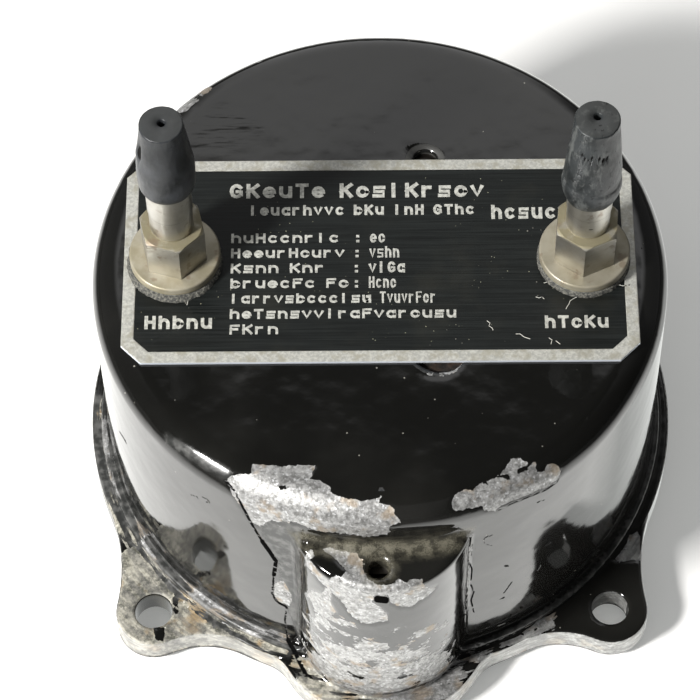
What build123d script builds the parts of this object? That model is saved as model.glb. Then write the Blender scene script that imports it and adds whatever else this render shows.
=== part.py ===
"""Vertical speed indicator for an 80 mm panel cut-out, capsule type with a compensating flask port.

Millimetres. +Z runs from the dial towards the back of the case, -Y towards the boss at six o'clock.
The origin is the centre of the four fixing holes on the front face of the flange, the panel seat.
"""

import os
from math import acos, atan2, cos, degrees, radians, sin, sqrt

from build123d import *

# Flange that seats behind the panel
bolt_hole_d = 5.3
ear_reach = 6.1
flange_reach = 2.6
flange_t = 4.2
ear_r = 5.4
ear_side_web_r = 28.0
ear_foot_web_r = 12.0
lobe_reach = 3.1
lobe_web_r = 6.0
flange_edge_r = 0.5

# Case drum
case_foot_d = 80.0
case_draft = 0.5
case_edge_r = 4.0
side_wall_t = 3.1
back_t = 3.0
inner_corner_r = 1.5
bead_w = 1.2
bead_h = 1.1
bead_edge_r = 0.5

# Boss at six o'clock
boss_r = 12.4
boss_inset = 6.0
boss_drop = 7.4
boss_root_r = 1.8
boss_rim_r = 1.0
boss_wall_t = 1.9
boss_roof_t = 5.0
boss_floor_step = 1.0
boss_hole_d = 2.8
boss_hole_x = -0.5
boss_hole_inset = 3.4
boss_sink_d = 3.8
grub_screw_l = 2.5

# Front closure
ring_lip_t = 1.5
ring_lip_reach = 1.4
ring_w = 2.4
ring_thread_l = 1.5
ring_notch_w = 3.0
ring_notch_h = 0.8
glass_seat_w = 1.1
glass_t = 2.2
glass_play = 0.1
gasket_t = 0.8

# Dial and pointer
glass_to_dial = 3.5
dial_t = 0.6
dial_play = 0.6
dial_bore_d = 4.0
dial_post_inset = 6.0
dial_post_r = 2.0
dial_post_l = 3.0
dial_screw_r = 1.6
dial_screw_head_t = 0.8
mark_t = 0.1
mark_steps = 10
mark_step_deg = 16.0
mark_margin = 2.8
long_mark_l = 4.5
long_mark_w = 0.9
short_mark_l = 2.5
short_mark_w = 0.5
pointer_tail_l = 8.0
pointer_t = 0.4
pointer_w = 1.6
pointer_tip_w = 0.5
counterweight_r = 2.4
pointer_hub_r = 1.6
pointer_hub_t = 1.6
dial_to_pointer = 1.4

# Plates of the movement
front_plate_margin = 3.9
front_plate_t = 1.4
bridge_gap = 7.0
bridge_t = 1.2
base_plate_inset = 3.0
base_plate_t = 1.5
plate_window_r = 7.0
plate_window_circle_r = 22.0
pillar_inset = 3.0
pillar_r = 2.0
lug_r = 4.0
bridge_pillar_r = 1.5
bridge_margin = 3.0
bridge_corner_r = 2.4
bridge_pillar_gap = 1.1
bridge_reach = 5.0
fork_window_margin_x = 0.4
fork_window_margin_y = 1.6
screw_head_r = 1.8
screw_head_t = 1.0
screw_shank_r = 0.8

# Pointer train
tooth_module = 0.35
pinion_teeth = 10
sector_full_teeth = 100
sector_shown_teeth = 13
sector_t = 1.0
sector_rise = 1.5
sector_rim_share = 0.8
sector_boss_share = 0.45
sector_spoke_teeth = 3
tooth_tip_share = 0.22
pinion_root_share = 0.42
sector_root_share = 0.5
pinion_root_h = 0.42
pinion_tip_h = 0.245
sector_root_h = 0.385
sector_tip_h = 0.28
pinion_overlap = 0.2
arbor_r = 0.75
pivot_r = 0.5
running_gap = 0.05
end_gap = 0.1
sector_hub_r = 2.6
drive_pin_r = 0.5
drive_arm = 4.0
fork_to_sector = 0.4
collet_to_sector = 0.9
hairspring_turns = 5
hairspring_t = 0.15
hairspring_h = 0.6
hairspring_outer_r = 6.9
collet_r = 1.6
collet_h = 1.0

# Rocking shaft, link and capsule
lift_arm = 6.0
rocker_rise = 3.3
rocker_shaft_r = 0.9
rocker_blade_t = 1.0
rocker_blade_w = 1.6
eye_r = 1.2
link_pin_r = 0.4
link_pin_head_r = 0.8
open_pivot_gap = 0.15
blade_gap = 0.2
fork_play = 0.2
fork_tine_w = 0.8
fork_reach = 0.6
bracket_t = 1.5
bracket_w = 4.0
bracket_rise = 1.8
bracket_foot_l = 5.0
bracket_foot_t = 1.0
bracket_gap_left = 0.7
bracket_gap_right = 0.5
link_l = 6.0
stud_h = 2.5
stud_foot_r = 2.5
stud_foot_t = 1.0
capsule_margin = 4.0
capsule_t = 5.6
capsule_rim_w = 1.2
capsule_boss_margin = 0.5
diaphragm_t = 0.3
corrugation_h = 0.5
corrugations = 5

# Capsule feed
hub_r = 5.0
hub_h = 2.8
hub_neck_r = 2.5
pipe_r = 0.8
pipe_bore_r = 0.45
pipe_seat = 2.0
capillary_sleeve_r = 1.2
capillary_sleeve_l = 11.0
capillary_r = 0.7
capillary_bore_r = 0.2
capillary_proud = 2.0
capillary_inset = 1.0

# Zero setting
spindle_inset = 3.9
bush_r = 2.9
spindle_r = 1.25
spindle_head_r = 2.0
spindle_head_t = 2.0
spindle_sink = 0.3
spindle_slot_w = 0.6
spindle_slot_t = 0.8
spindle_seal_t = 1.0
spindle_clip_r = 1.8
spindle_clip_t = 0.5
crank_r = 1.5
crank_t = 1.0
crank_throw = 1.0
crank_pin_r = 0.4
crank_play = 0.12
lever_t = 0.8
lever_to_bridge = 0.3
crank_to_lever = 0.7
crank_pin_proud = 0.6
lever_w = 2.4
lever_ring_w = 1.35
lever_tine_w = 0.9
lever_crown_w = 1.0
bearing_collar_r = 2.2
lever_clip_w = 0.9
lever_clip_t = 0.3
spring_stud_r = 0.4

# Hose fittings, seen from the back
fitting_inset = 7.05
shank_r = 3.0
shank_clearance = 0.05
nut_af = 9.0
nut_t = 1.6
sealing_ring_r = 6.1
sealing_ring_t = 0.9
washer_r = 6.2
washer_t = 1.3
hexagon_af = 8.0
hexagon_h = 7.0
hexagon_chamfer = 0.5
neck_r = 2.95
neck_h = 4.3
collar_r = 3.05
collar_h = 7.0
nipple_r = 2.1
nipple_h = 8.0
barb_r = 2.3
barb_count = 3
passage_r = 1.2
shank_tail_l = 4.5
left_hexagon_turn = 13.0
right_hexagon_turn = -5.0

# Rubber caps
cap_gap = 0.05
cap_lip_w = 0.25
cap_edge_r = 0.4
cap_hole_r = 0.5
cap_step_gap = 0.5
cap_roof_gap = 1.0
left_cap_lift = 10.3
left_cap_l = 13.2
left_cap_bulge_r = 3.84
left_cap_top_r = 2.8
right_cap_lift = 8.0
right_cap_l = 15.9
right_cap_bulge_r = 3.9
right_cap_top_r = 2.95
cap_bulge_rise = 3.3

# Name plate
plate_end_inset = 4.6
plate_w = 32.4
plate_t = 0.5
plate_corner = 2.7
plate_border = 1.7
field_depth = 0.15
print_proud = 0.05
print_reach = 7.65
print_value_x = -1.4
print_first_y = 3.4
print_pitch = 2.4
print_h = 1.3
title_y = 11.2
title_l = 35.0
title_h = 2.2
subtitle_inset = 2.8
subtitle_y = 7.9
subtitle_l = 30.8
edge_label_reach = 12.35
edge_label_y = 7.4
edge_label_l = 5.4
edge_label_h = 2.0
port_label_h = 1.8
left_label_reach = 3.95
left_label_y = -9.9
left_label_l = 9.3
right_label_reach = 5.65
right_label_y = -10.3
right_label_l = 8.8

# Holes in the back
access_hole_inset = 5.0
access_hole_deg = -60.2
access_hole_r = 3.8
access_plug_t = 1.8
access_plug_sink = 0.7
access_rim_w = 0.8
frame_screw_inset = 2.9
frame_screw_first_deg = 69.1
frame_screw_step_deg = 131.0
frame_screw_sink_r = 2.1
frame_screw_sink_t = 1.9
frame_screw_head_r = 1.9
frame_screw_head_t = 0.9
frame_screw_slot_w = 0.5
frame_screw_shank_r = 1.2

# Heights that follow, from the dial to the back
glass_z = ring_thread_l
gasket_z = glass_z + glass_t
shoulder_z = gasket_z + gasket_t
dial_z = shoulder_z + glass_to_dial
front_plate_z = dial_z + dial_t + dial_post_l
bridge_z = front_plate_z + front_plate_t + bridge_gap
rocker_z = bridge_z + bridge_t + rocker_rise
stud_pin_z = rocker_z + link_l
capsule_z = stud_pin_z + stud_h
capsule_rear_z = capsule_z + capsule_t
capsule_mid_z = capsule_z + capsule_t / 2
base_plate_z = capsule_rear_z + hub_h
back_inner_z = base_plate_z + base_plate_t
case_depth = back_inner_z + back_t
pipe_z = capsule_rear_z + hub_h / 2
boss_top_z = case_depth - boss_drop
boss_cavity_z = flange_t + boss_floor_step
boss_cavity_top_z = boss_top_z - boss_roof_t

# Radii and places that follow
case_foot_r = case_foot_d / 2
case_top_r = case_foot_r - case_draft
case_inner_r = case_foot_r - side_wall_t
flange_r = case_foot_r + flange_reach
bolt_half = (case_foot_r + ear_reach) / sqrt(2)
glass_r = case_inner_r + glass_seat_w
recess_r = glass_r + glass_play
dial_r = case_inner_r - dial_play
mark_outer_r = dial_r - mark_margin
pointer_l = mark_outer_r - long_mark_l
front_plate_r = case_inner_r - front_plate_margin
dial_post_circle_r = front_plate_r - dial_post_inset
pillar_circle_r = front_plate_r - pillar_inset
capsule_r = pillar_circle_r - pillar_r - capsule_margin
base_plate_r = capsule_r - base_plate_inset
frame_screw_circle_r = base_plate_r - frame_screw_inset
access_hole_x = (base_plate_r - access_hole_inset) * cos(radians(access_hole_deg))
access_hole_y = (base_plate_r - access_hole_inset) * sin(radians(access_hole_deg))
boss_y = boss_inset - case_foot_r
boss_hole_y = boss_y - boss_r + boss_hole_inset
spindle_y = boss_y - boss_r + spindle_inset
lobe_r = boss_r + lobe_reach
plate_l = 2 * (case_top_r - plate_end_inset)
fitting_x = plate_l / 2 - fitting_inset
print_left = print_reach - fitting_x
boss_cavity_r = boss_r - boss_wall_t
pinion_pitch_r = tooth_module * pinion_teeth / 2
sector_pitch_r = tooth_module * sector_full_teeth / 2
train_distance = pinion_pitch_r + sector_pitch_r
sector_x = sqrt(train_distance**2 - lift_arm**2)
sector_y = lift_arm
drive_pin_x = sector_x - drive_arm
sector_z = front_plate_z + front_plate_t + sector_rise
sector_rear_z = sector_z + sector_t
fork_tip_z = sector_rear_z + fork_to_sector
drive_pin_top_z = fork_tip_z + 2 * fork_reach
collet_z = sector_rear_z + collet_to_sector
lever_z = bridge_z - lever_t - lever_to_bridge
lever_clip_z = lever_z - lever_clip_t
plate_rear_z = case_depth + plate_t
washer_z = plate_rear_z + sealing_ring_t
hexagon_z = washer_z + washer_t
neck_z = hexagon_z + hexagon_h
collar_z = neck_z + neck_h
nipple_z = collar_z + collar_h
nipple_top_z = nipple_z + nipple_h
shank_end_z = back_inner_z - shank_tail_l
crank_z = lever_z - crank_to_lever - crank_t


def at_angle(radius, angle_deg):
    """Point on a circle about the case axis."""
    return radius * cos(radians(angle_deg)), radius * sin(radians(angle_deg))


def rod(radius, low_z, high_z, x=0.0, y=0.0):
    """Round bar along Z."""
    bar = Cylinder(radius, high_z - low_z, align=(Align.CENTER, Align.CENTER, Align.MIN))
    return Pos(x, y, low_z) * bar


def rod_x(radius, low_x, high_x, y, z):
    """Round bar along X."""
    bar = Cylinder(radius, high_x - low_x, align=(Align.CENTER, Align.CENTER, Align.MIN))
    return Pos(low_x, y, z) * Rot(0, 90, 0) * bar


def tube(outer_r, inner_r, low_z, high_z, x=0.0, y=0.0):
    """Round tube along Z."""
    return rod(outer_r, low_z, high_z, x, y) - rod(inner_r, low_z, high_z, x, y)


def block(low, high):
    """Rectangular block between two opposite corners."""
    size = [b - a for a, b in zip(low, high)]
    return Pos(*low) * Box(*size, align=(Align.MIN, Align.MIN, Align.MIN))


def turned(*points):
    """Solid turned about the case axis from its (radius, height) corners."""
    return revolve(make_face(Plane.XZ * Polyline(*points, close=True)), Axis.Z)


def hexagon(across_flats, low_z, high_z, turn, x, y=0.0):
    """Hexagonal prism with one corner towards -Y, turned by an angle in degrees."""
    face = RegularPolygon(across_flats / 2, 6, major_radius=False, rotation=turn + 30)
    return extrude(Pos(x, y, low_z) * face, high_z - low_z)


def web(center_a, radius_a, center_b, radius_b, fillet_r, side):
    """Face that fills the hollow between two circles up to a concave arc."""
    ax, ay = center_a
    bx, by = center_b
    gap = sqrt((bx - ax) ** 2 + (by - ay) ** 2)
    to_a = radius_a + fillet_r
    to_b = radius_b + fillet_r
    turn = acos((gap**2 + to_a**2 - to_b**2) / (2 * gap * to_a))
    heading = atan2(by - ay, bx - ax) + side * turn
    cx = ax + to_a * cos(heading)
    cy = ay + to_a * sin(heading)
    wedge = make_face(Polyline((ax, ay), (bx, by), (cx, cy), close=True))
    return wedge - Pos(cx, cy) * Circle(fillet_r)


def flange_outline():
    """Round flange with four ears and the lobe that carries the boss."""
    face = Circle(flange_r)
    middle = (0, 0)
    for x_sign in (-1, 1):
        for y_sign in (-1, 1):
            ear = (x_sign * bolt_half, y_sign * bolt_half)
            foot_web_r = ear_foot_web_r if y_sign < 0 else ear_side_web_r
            face += Pos(*ear) * Circle(ear_r)
            turn = x_sign * y_sign
            face += web(middle, flange_r, ear, ear_r, ear_side_web_r, -turn)
            face += web(middle, flange_r, ear, ear_r, foot_web_r, turn)
    lobe = (0, boss_y)
    face += Pos(*lobe) * Circle(lobe_r)
    for side in (-1, 1):
        face += web(middle, flange_r, lobe, lobe_r, lobe_web_r, side)
    return face


def arcs_at(shape, height, radius):
    """Circular edges that lie in the plane of a height and have a radius."""
    found = shape.edges().filter_by(GeomType.CIRCLE)
    found = found.filter_by(lambda e: abs(e.radius - radius) < 0.01)
    return found.filter_by(lambda e: abs(e.center().Z - height) < 0.01)


def case_body():
    """The casting: drum with rounded back, flange, foot bead and hollow boss."""
    drum = turned(
        (0, 0),
        (case_foot_r, 0),
        (case_foot_r, flange_t),
        (case_top_r, case_depth),
        (0, case_depth),
    )
    drum = fillet(arcs_at(drum, case_depth, case_top_r), case_edge_r)
    body = drum + rod(boss_r, 0, boss_top_z, 0, boss_y)
    body = fillet(arcs_at(body, boss_top_z, boss_r), boss_rim_r)
    roots = body.edges().filter_by(lambda e: abs(e.center().X) > boss_r / 2 and e.center().Y < boss_y)
    roots = roots.filter_by(lambda e: e.bounding_box().size.Z > boss_top_z / 2)
    cove = body.edges().filter_by(lambda e: abs(e.center().Z - boss_top_z) < 0.01)
    cove = cove.filter_by(lambda e: abs(e.center().X) < 1.0).sort_by(Axis.Y)[-1]
    body = fillet(roots + [cove], boss_root_r)

    flange = extrude(flange_outline(), flange_t)
    flange = fillet(flange.faces().sort_by(Axis.Z)[-1].edges(), flange_edge_r)
    bead = rod(case_foot_r + bead_w, 0, flange_t + bead_h)
    bead = fillet(bead.edges().sort_by(Axis.Z)[-1], bead_edge_r)
    body += flange
    body += bead

    hollow = rod(case_inner_r, shoulder_z, back_inner_z)
    hollow = fillet(hollow.edges().sort_by(Axis.Z)[-1], inner_corner_r)
    body -= hollow
    body -= rod(recess_r, 0, shoulder_z)
    body -= rod(boss_cavity_r, boss_cavity_z, boss_cavity_top_z, 0, boss_y)
    body -= rod(bush_r, 0, boss_cavity_z, 0, spindle_y)
    for x in (-bolt_half, bolt_half):
        for y in (-bolt_half, bolt_half):
            body -= rod(bolt_hole_d / 2, 0, flange_t, x, y)
    for x in (-fitting_x, fitting_x):
        body -= rod(shank_r + shank_clearance, back_inner_z, case_depth, x)
    body -= rod(access_hole_r, back_inner_z, case_depth, access_hole_x, access_hole_y)
    for x, y in frame_screw_places():
        body -= rod(frame_screw_shank_r, back_inner_z, case_depth, x, y)
        body -= rod(frame_screw_sink_r, case_depth - frame_screw_sink_t, case_depth, x, y)
    body -= boss_hole()
    return body


def boss_hole():
    """Drilled hole through the roof of the boss with its countersink."""
    hole = rod(boss_hole_d / 2, boss_cavity_top_z, boss_top_z, boss_hole_x, boss_hole_y)
    sink_h = (boss_sink_d - boss_hole_d) / 2
    sink = Cone(boss_hole_d / 2, boss_sink_d / 2, sink_h, align=(Align.CENTER, Align.CENTER, Align.MAX))
    return hole + Pos(boss_hole_x, boss_hole_y, boss_top_z) * sink


def boss_grub_screw():
    """Slotted grub screw deep in the boss hole."""
    top_z = boss_cavity_top_z + grub_screw_l
    screw = rod(boss_hole_d / 2, boss_cavity_top_z, top_z, boss_hole_x, boss_hole_y)
    half = boss_hole_d / 2
    low = (boss_hole_x - half, boss_hole_y - spindle_slot_w / 2, top_z - spindle_slot_t)
    high = (boss_hole_x + half, boss_hole_y + spindle_slot_w / 2, top_z)
    return screw - block(low, high)


def frame_screw_places():
    """Three places on a circle in the back, clear of the fittings."""
    angles = [frame_screw_first_deg + index * frame_screw_step_deg for index in range(3)]
    return [at_angle(frame_screw_circle_r, angle) for angle in angles]


def frame_screws():
    """Cheese head screws that hold the movement to the back of the case."""
    head_z = case_depth - frame_screw_sink_t
    screws = []
    for x, y in frame_screw_places():
        screw = rod(frame_screw_shank_r, base_plate_z, head_z, x, y)
        screw += rod(frame_screw_head_r, head_z, head_z + frame_screw_head_t, x, y)
        half = frame_screw_slot_w / 2
        slot_low = (x - frame_screw_head_r, y - half, head_z + frame_screw_head_t / 2)
        slot_high = (x + frame_screw_head_r, y + half, head_z + frame_screw_head_t)
        screws.append(screw - block(slot_low, slot_high))
    return Compound(screws)


def access_plug():
    """Soft plug that seals the adjusting hole in the back."""
    top_z = case_depth - access_plug_sink
    return rod(access_hole_r, top_z - access_plug_t, top_z, access_hole_x, access_hole_y)


def bezel_ring():
    """Screwed ring with a lip, which presses the glass onto its gasket."""
    lip_r = glass_r + ring_lip_reach
    bore_r = glass_r - ring_w
    ring = turned(
        (bore_r, -ring_lip_t),
        (lip_r, -ring_lip_t),
        (lip_r, 0),
        (glass_r, 0),
        (glass_r, ring_thread_l),
        (bore_r, ring_thread_l),
    )
    ring = chamfer(arcs_at(ring, -ring_lip_t, bore_r), ring_lip_t / 2)
    for side in (-1, 1):
        low = (side * lip_r - ring_notch_w, -ring_notch_w / 2, -ring_lip_t)
        high = (side * lip_r + ring_notch_w, ring_notch_w / 2, ring_notch_h - ring_lip_t)
        ring -= block(low, high)
    return ring


def front_glass():
    """Flat round glass."""
    return rod(glass_r, glass_z, gasket_z)


def glass_gasket():
    """Flat rubber ring between the glass and the shoulder in the case."""
    return tube(glass_r, case_inner_r, gasket_z, shoulder_z)


def dial_post_places():
    """Three places around the dial."""
    return [at_angle(dial_post_circle_r, angle) for angle in (30, 150, 270)]


def dial():
    """Sheet dial with its centre hole and screw holes."""
    plate = tube(dial_r, dial_bore_d / 2, dial_z, dial_z + dial_t)
    for x, y in dial_post_places():
        plate -= rod(screw_shank_r, dial_z, dial_z + dial_t, x, y)
    return plate


def dial_marks():
    """Graduation: long marks at whole values, short ones between, zero on the left of the face."""
    marks = []
    for step in range(-mark_steps, mark_steps + 1):
        length = short_mark_l if step % 2 else long_mark_l
        width = short_mark_w if step % 2 else long_mark_w
        bar = Box(length, width, mark_t, align=(Align.MAX, Align.CENTER, Align.MAX))
        marks.append(Rot(0, 0, step * mark_step_deg) * Pos(mark_outer_r, 0, dial_z) * bar)
    return Compound(marks)


def dial_screws():
    """Round head screws through the dial into its posts."""
    screws = []
    for x, y in dial_post_places():
        screw = rod(screw_shank_r, dial_z, dial_z + dial_t + dial_post_l / 2, x, y)
        screws.append(screw + rod(dial_screw_r, dial_z - dial_screw_head_t, dial_z, x, y))
    return Compound(screws)


def dial_posts():
    """Tapped posts that stand on the front plate and carry the dial."""
    low_z = dial_z + dial_t
    posts = []
    for x, y in dial_post_places():
        post = rod(dial_post_r, low_z, front_plate_z, x, y)
        posts.append(post - rod(screw_shank_r, low_z, low_z + dial_post_l / 2, x, y))
    return Compound(posts)


def pointer():
    """Tapered pointer with hub, tail and round counterweight, at zero on the left of the face."""
    low_z = dial_z - dial_to_pointer - pointer_t
    high_z = low_z + pointer_t
    half = pointer_w / 2
    tip = pointer_tip_w / 2
    outline = Polyline(
        (-pointer_tail_l, -half),
        (0, -half),
        (pointer_l, -tip),
        (pointer_l, tip),
        (0, half),
        (-pointer_tail_l, half),
        close=True,
    )
    blade = extrude(Pos(0, 0, low_z) * make_face(outline), pointer_t)
    blade += rod(counterweight_r, low_z, high_z, -pointer_tail_l)
    blade += rod(pointer_hub_r, high_z - pointer_hub_t, high_z)
    return blade - rod(pivot_r, high_z - pointer_hub_t, high_z)


def tooth_corners(root_r, tip_r, root_share, full_teeth, shown_teeth, turn_deg):
    """Corners of a run of straight flanked teeth about the origin."""
    corners = []
    pitch_deg = 360 / full_teeth
    for index in range(shown_teeth):
        middle_deg = turn_deg + (index - (shown_teeth - 1) / 2) * pitch_deg
        for side, share, radius in (
            (-1, root_share, root_r),
            (-1, tooth_tip_share, tip_r),
            (1, tooth_tip_share, tip_r),
            (1, root_share, root_r),
        ):
            corners.append(at_angle(radius, middle_deg + side * share * pitch_deg / 2))
    return corners


def pointer_arbor():
    """Arbor of the pointer with its pinion and both pivots."""
    tip_z = dial_z - dial_to_pointer - pointer_hub_t
    low_z = front_plate_z + front_plate_t + end_gap
    arbor = rod(pivot_r, tip_z, low_z)
    arbor += rod(arbor_r, low_z, bridge_z - end_gap)
    arbor += rod(pivot_r, bridge_z - end_gap, bridge_z + bridge_t)
    root_r = pinion_pitch_r - pinion_root_h
    tip_r = pinion_pitch_r + pinion_tip_h
    mesh_deg = degrees(atan2(sector_y, sector_x))
    corners = tooth_corners(root_r, tip_r, pinion_root_share, pinion_teeth, pinion_teeth, mesh_deg)
    face = make_face(Polyline(*corners, close=True))
    return arbor + extrude(Pos(0, 0, sector_z - pinion_overlap) * face, sector_t + 2 * pinion_overlap)


def gear_sector():
    """Toothed sector with hub, arbor and the pin that the fork drives."""
    toward_deg = degrees(atan2(-sector_y, -sector_x))
    root_r = sector_pitch_r - sector_root_h
    tip_r = sector_pitch_r + sector_tip_h
    corners = tooth_corners(
        root_r, tip_r, sector_root_share, sector_full_teeth, sector_shown_teeth, toward_deg
    )
    face = make_face(Polyline((0, 0), *corners, close=True))
    window = Circle(sector_pitch_r * sector_rim_share) - Circle(sector_pitch_r * sector_boss_share)
    half_deg = 180 * (sector_shown_teeth - sector_spoke_teeth) / sector_full_teeth
    wedge = Polyline(
        (0, 0),
        at_angle(2 * sector_pitch_r, toward_deg - half_deg),
        at_angle(2 * sector_pitch_r, toward_deg + half_deg),
        close=True,
    )
    window = window & make_face(wedge)
    plate = extrude(Pos(sector_x, sector_y, sector_z) * (face - window), sector_t)
    plate += rod(sector_hub_r, sector_z, sector_rear_z, sector_x, sector_y)
    low_z = front_plate_z + front_plate_t + end_gap
    plate += rod(arbor_r, low_z, bridge_z - end_gap, sector_x, sector_y)
    plate += rod(pivot_r, front_plate_z, bridge_z + bridge_t - end_gap, sector_x, sector_y)
    plate += rod(drive_pin_r * 2, sector_z, sector_rear_z, drive_pin_x, sector_y)
    return plate + rod(drive_pin_r, sector_rear_z, drive_pin_top_z, drive_pin_x, sector_y)


def hairspring_collet():
    """Split collet that grips the inner end of the hairspring."""
    return tube(collet_r, arbor_r, collet_z, collet_z + collet_h)


def hairspring():
    """Flat spiral spring, wound outwards from the collet to the stud on the zero lever."""
    inner_r = collet_r + hairspring_t
    low_z = collet_z + (collet_h - hairspring_h) / 2
    steps = 8 * hairspring_turns
    edges = []
    for offset in (0, hairspring_t):
        points = []
        for step in range(steps + 1):
            radius = inner_r + offset + (hairspring_outer_r - inner_r) * step / steps
            points.append(at_angle(radius, -90 + 360 * hairspring_turns * (step / steps - 1)))
        edges.append(Spline(*points))
    inside, outside = edges
    start = Line(inside @ 0, outside @ 0)
    end = Line(inside @ 1, outside @ 1)
    return extrude(Pos(0, 0, low_z) * make_face([start, outside, end, inside]), hairspring_h)


def pillar_places():
    """Three places of the long pillars."""
    return [at_angle(pillar_circle_r, angle) for angle in (90, 210, 330)]


def bridge_corners():
    """Four places of the short pillars, clear of the sweep of the sector."""
    low_x = -hairspring_outer_r - bridge_pillar_r - bridge_pillar_gap
    high_x = sector_x + sector_hub_r * 2
    return [(x, y) for x in (low_x, high_x) for y in (-bridge_reach, sector_y + bridge_reach)]


def front_plate():
    """Round plate that carries the train, with lightening holes."""
    high_z = front_plate_z + front_plate_t
    plate = rod(front_plate_r, front_plate_z, high_z)
    plate -= rod(pivot_r + running_gap, front_plate_z, high_z)
    plate -= rod(pivot_r + running_gap, front_plate_z, high_z, sector_x, sector_y)
    for x, y in pillar_places() + bridge_corners():
        plate -= rod(screw_shank_r, front_plate_z, high_z, x, y)
    for angle in (120, 180, 240):
        x, y = at_angle(plate_window_circle_r, angle)
        plate -= rod(plate_window_r, front_plate_z, high_z, x, y)
    return plate


def bridge_plate():
    """Plate behind the train, with the collar that the zero lever turns on."""
    corners = bridge_corners()
    low_x = corners[0][0] - bridge_margin
    low_y = corners[0][1] - bridge_margin
    high_x = corners[-1][0] + bridge_margin
    high_y = corners[-1][1] + bridge_margin
    high_z = bridge_z + bridge_t
    plate = block((low_x, low_y, bridge_z), (high_x, high_y, high_z))
    plate = fillet(plate.edges().filter_by(Axis.Z), bridge_corner_r)
    plate += rod(bearing_collar_r, lever_clip_z, bridge_z)
    plate -= rod(arbor_r + running_gap, lever_clip_z, bridge_z)
    plate -= rod(pivot_r + running_gap, bridge_z, high_z)
    plate -= rod(pivot_r + running_gap, bridge_z, high_z, sector_x, sector_y)
    for x, y in corners:
        plate -= rod(screw_shank_r, bridge_z, high_z, x, y)
    half_x = fork_width() / 2 + fork_window_margin_x
    half_y = fork_height() / 2 + fork_window_margin_y
    low = (drive_pin_x - half_x, sector_y - half_y, bridge_z)
    return plate - block(low, (drive_pin_x + half_x, sector_y + half_y, high_z))


def screw_group(places, head_low_z, head_high_z, end_z):
    """Cheese head screws along Z at like places."""
    screws = []
    for x, y in places:
        low_z = min(head_low_z, end_z)
        high_z = max(head_high_z, end_z)
        shank = rod(screw_shank_r, low_z, high_z, x, y)
        screws.append(shank + rod(screw_head_r, head_low_z, head_high_z, x, y))
    return Compound(screws)


def bridge_pillars():
    """Short pillars between the front plate and the bridge plate."""
    low_z = front_plate_z + front_plate_t
    middle = (low_z + bridge_z) / 2
    pillars = []
    for x, y in bridge_corners():
        pillar = rod(bridge_pillar_r, low_z, bridge_z, x, y)
        pillar -= rod(screw_shank_r, middle, bridge_z, x, y)
        pillars.append(pillar + rod(screw_shank_r, front_plate_z, low_z, x, y))
    return Compound(pillars)


def bridge_screws():
    """Screws that hold the bridge plate to its pillars."""
    high_z = bridge_z + bridge_t
    end_z = (front_plate_z + front_plate_t + bridge_z) / 2
    return screw_group(bridge_corners(), high_z, high_z + screw_head_t, end_z)


def frame_pillars():
    """Long pillars between the base plate and the front plate."""
    low_z = front_plate_z + front_plate_t
    pillars = []
    for x, y in pillar_places():
        pillar = rod(pillar_r, low_z, base_plate_z, x, y)
        pillar -= rod(screw_shank_r, low_z, low_z + 3 * pillar_r, x, y)
        pillars.append(pillar + rod(screw_shank_r, base_plate_z, back_inner_z, x, y))
    return Compound(pillars)


def pillar_screws():
    """Screws that hold the front plate to the long pillars."""
    end_z = front_plate_z + front_plate_t + 3 * pillar_r
    return screw_group(pillar_places(), front_plate_z - screw_head_t, front_plate_z, end_z)


def base_plate():
    """Plate on the back of the case, with an arm to each long pillar."""
    plate = rod(base_plate_r, base_plate_z, back_inner_z)
    for angle, (x, y) in zip((90, 210, 330), pillar_places()):
        arm = Box(pillar_circle_r, 2 * lug_r, base_plate_t, align=(Align.MIN, Align.CENTER, Align.MIN))
        plate += Pos(0, 0, base_plate_z) * Rot(0, 0, angle) * arm
        plate += rod(lug_r, base_plate_z, back_inner_z, x, y)
        plate -= rod(screw_shank_r, base_plate_z, back_inner_z, x, y)
    plate -= rod(hub_neck_r, base_plate_z, back_inner_z)
    plate -= rod(access_hole_r - access_rim_w, base_plate_z, back_inner_z, access_hole_x, access_hole_y)
    for x, y in frame_screw_places():
        plate -= rod(frame_screw_shank_r, base_plate_z, back_inner_z, x, y)
    return plate


def fork_width():
    """Width of the fork along X."""
    return 4 * drive_pin_r


def fork_height():
    """Height of the fork along Y, over both tines."""
    return 2 * (drive_pin_r + fork_play + fork_tine_w)


def rocking_shaft():
    """Cross shaft with the lift arm to the link and the fork arm to the sector."""
    left_x, right_x = bracket_faces()
    shaft = rod_x(rocker_shaft_r, left_x + end_gap, right_x - end_gap, lift_arm, rocker_z)
    shaft += rod_x(pivot_r, left_x - bracket_t, right_x + bracket_t, lift_arm, rocker_z)
    high_x = -rocker_blade_t / 2 - blade_gap
    low_x = high_x - rocker_blade_t
    half_w = rocker_blade_w / 2
    shaft += block((low_x, 0, rocker_z - half_w), (high_x, lift_arm, rocker_z + half_w))
    shaft += rod_x(eye_r, low_x, high_x, 0, rocker_z)
    shaft += link_pin(rocker_z)
    blade_low = (drive_pin_x - rocker_blade_t / 2, lift_arm - half_w, drive_pin_top_z + fork_reach)
    blade_high = (drive_pin_x + rocker_blade_t / 2, lift_arm + half_w, rocker_z)
    shaft += block(blade_low, blade_high)
    half_x = fork_width() / 2
    half_y = fork_height() / 2
    crown_z = drive_pin_top_z + 2 * fork_reach
    slot = drive_pin_r + fork_play
    slot_top_z = drive_pin_top_z + fork_reach
    left = drive_pin_x - half_x
    right = drive_pin_x + half_x
    fork = block((left, lift_arm - half_y, fork_tip_z), (right, lift_arm + half_y, crown_z))
    fork -= block((left, lift_arm - slot, fork_tip_z), (right, lift_arm + slot, slot_top_z))
    return shaft + fork


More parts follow.
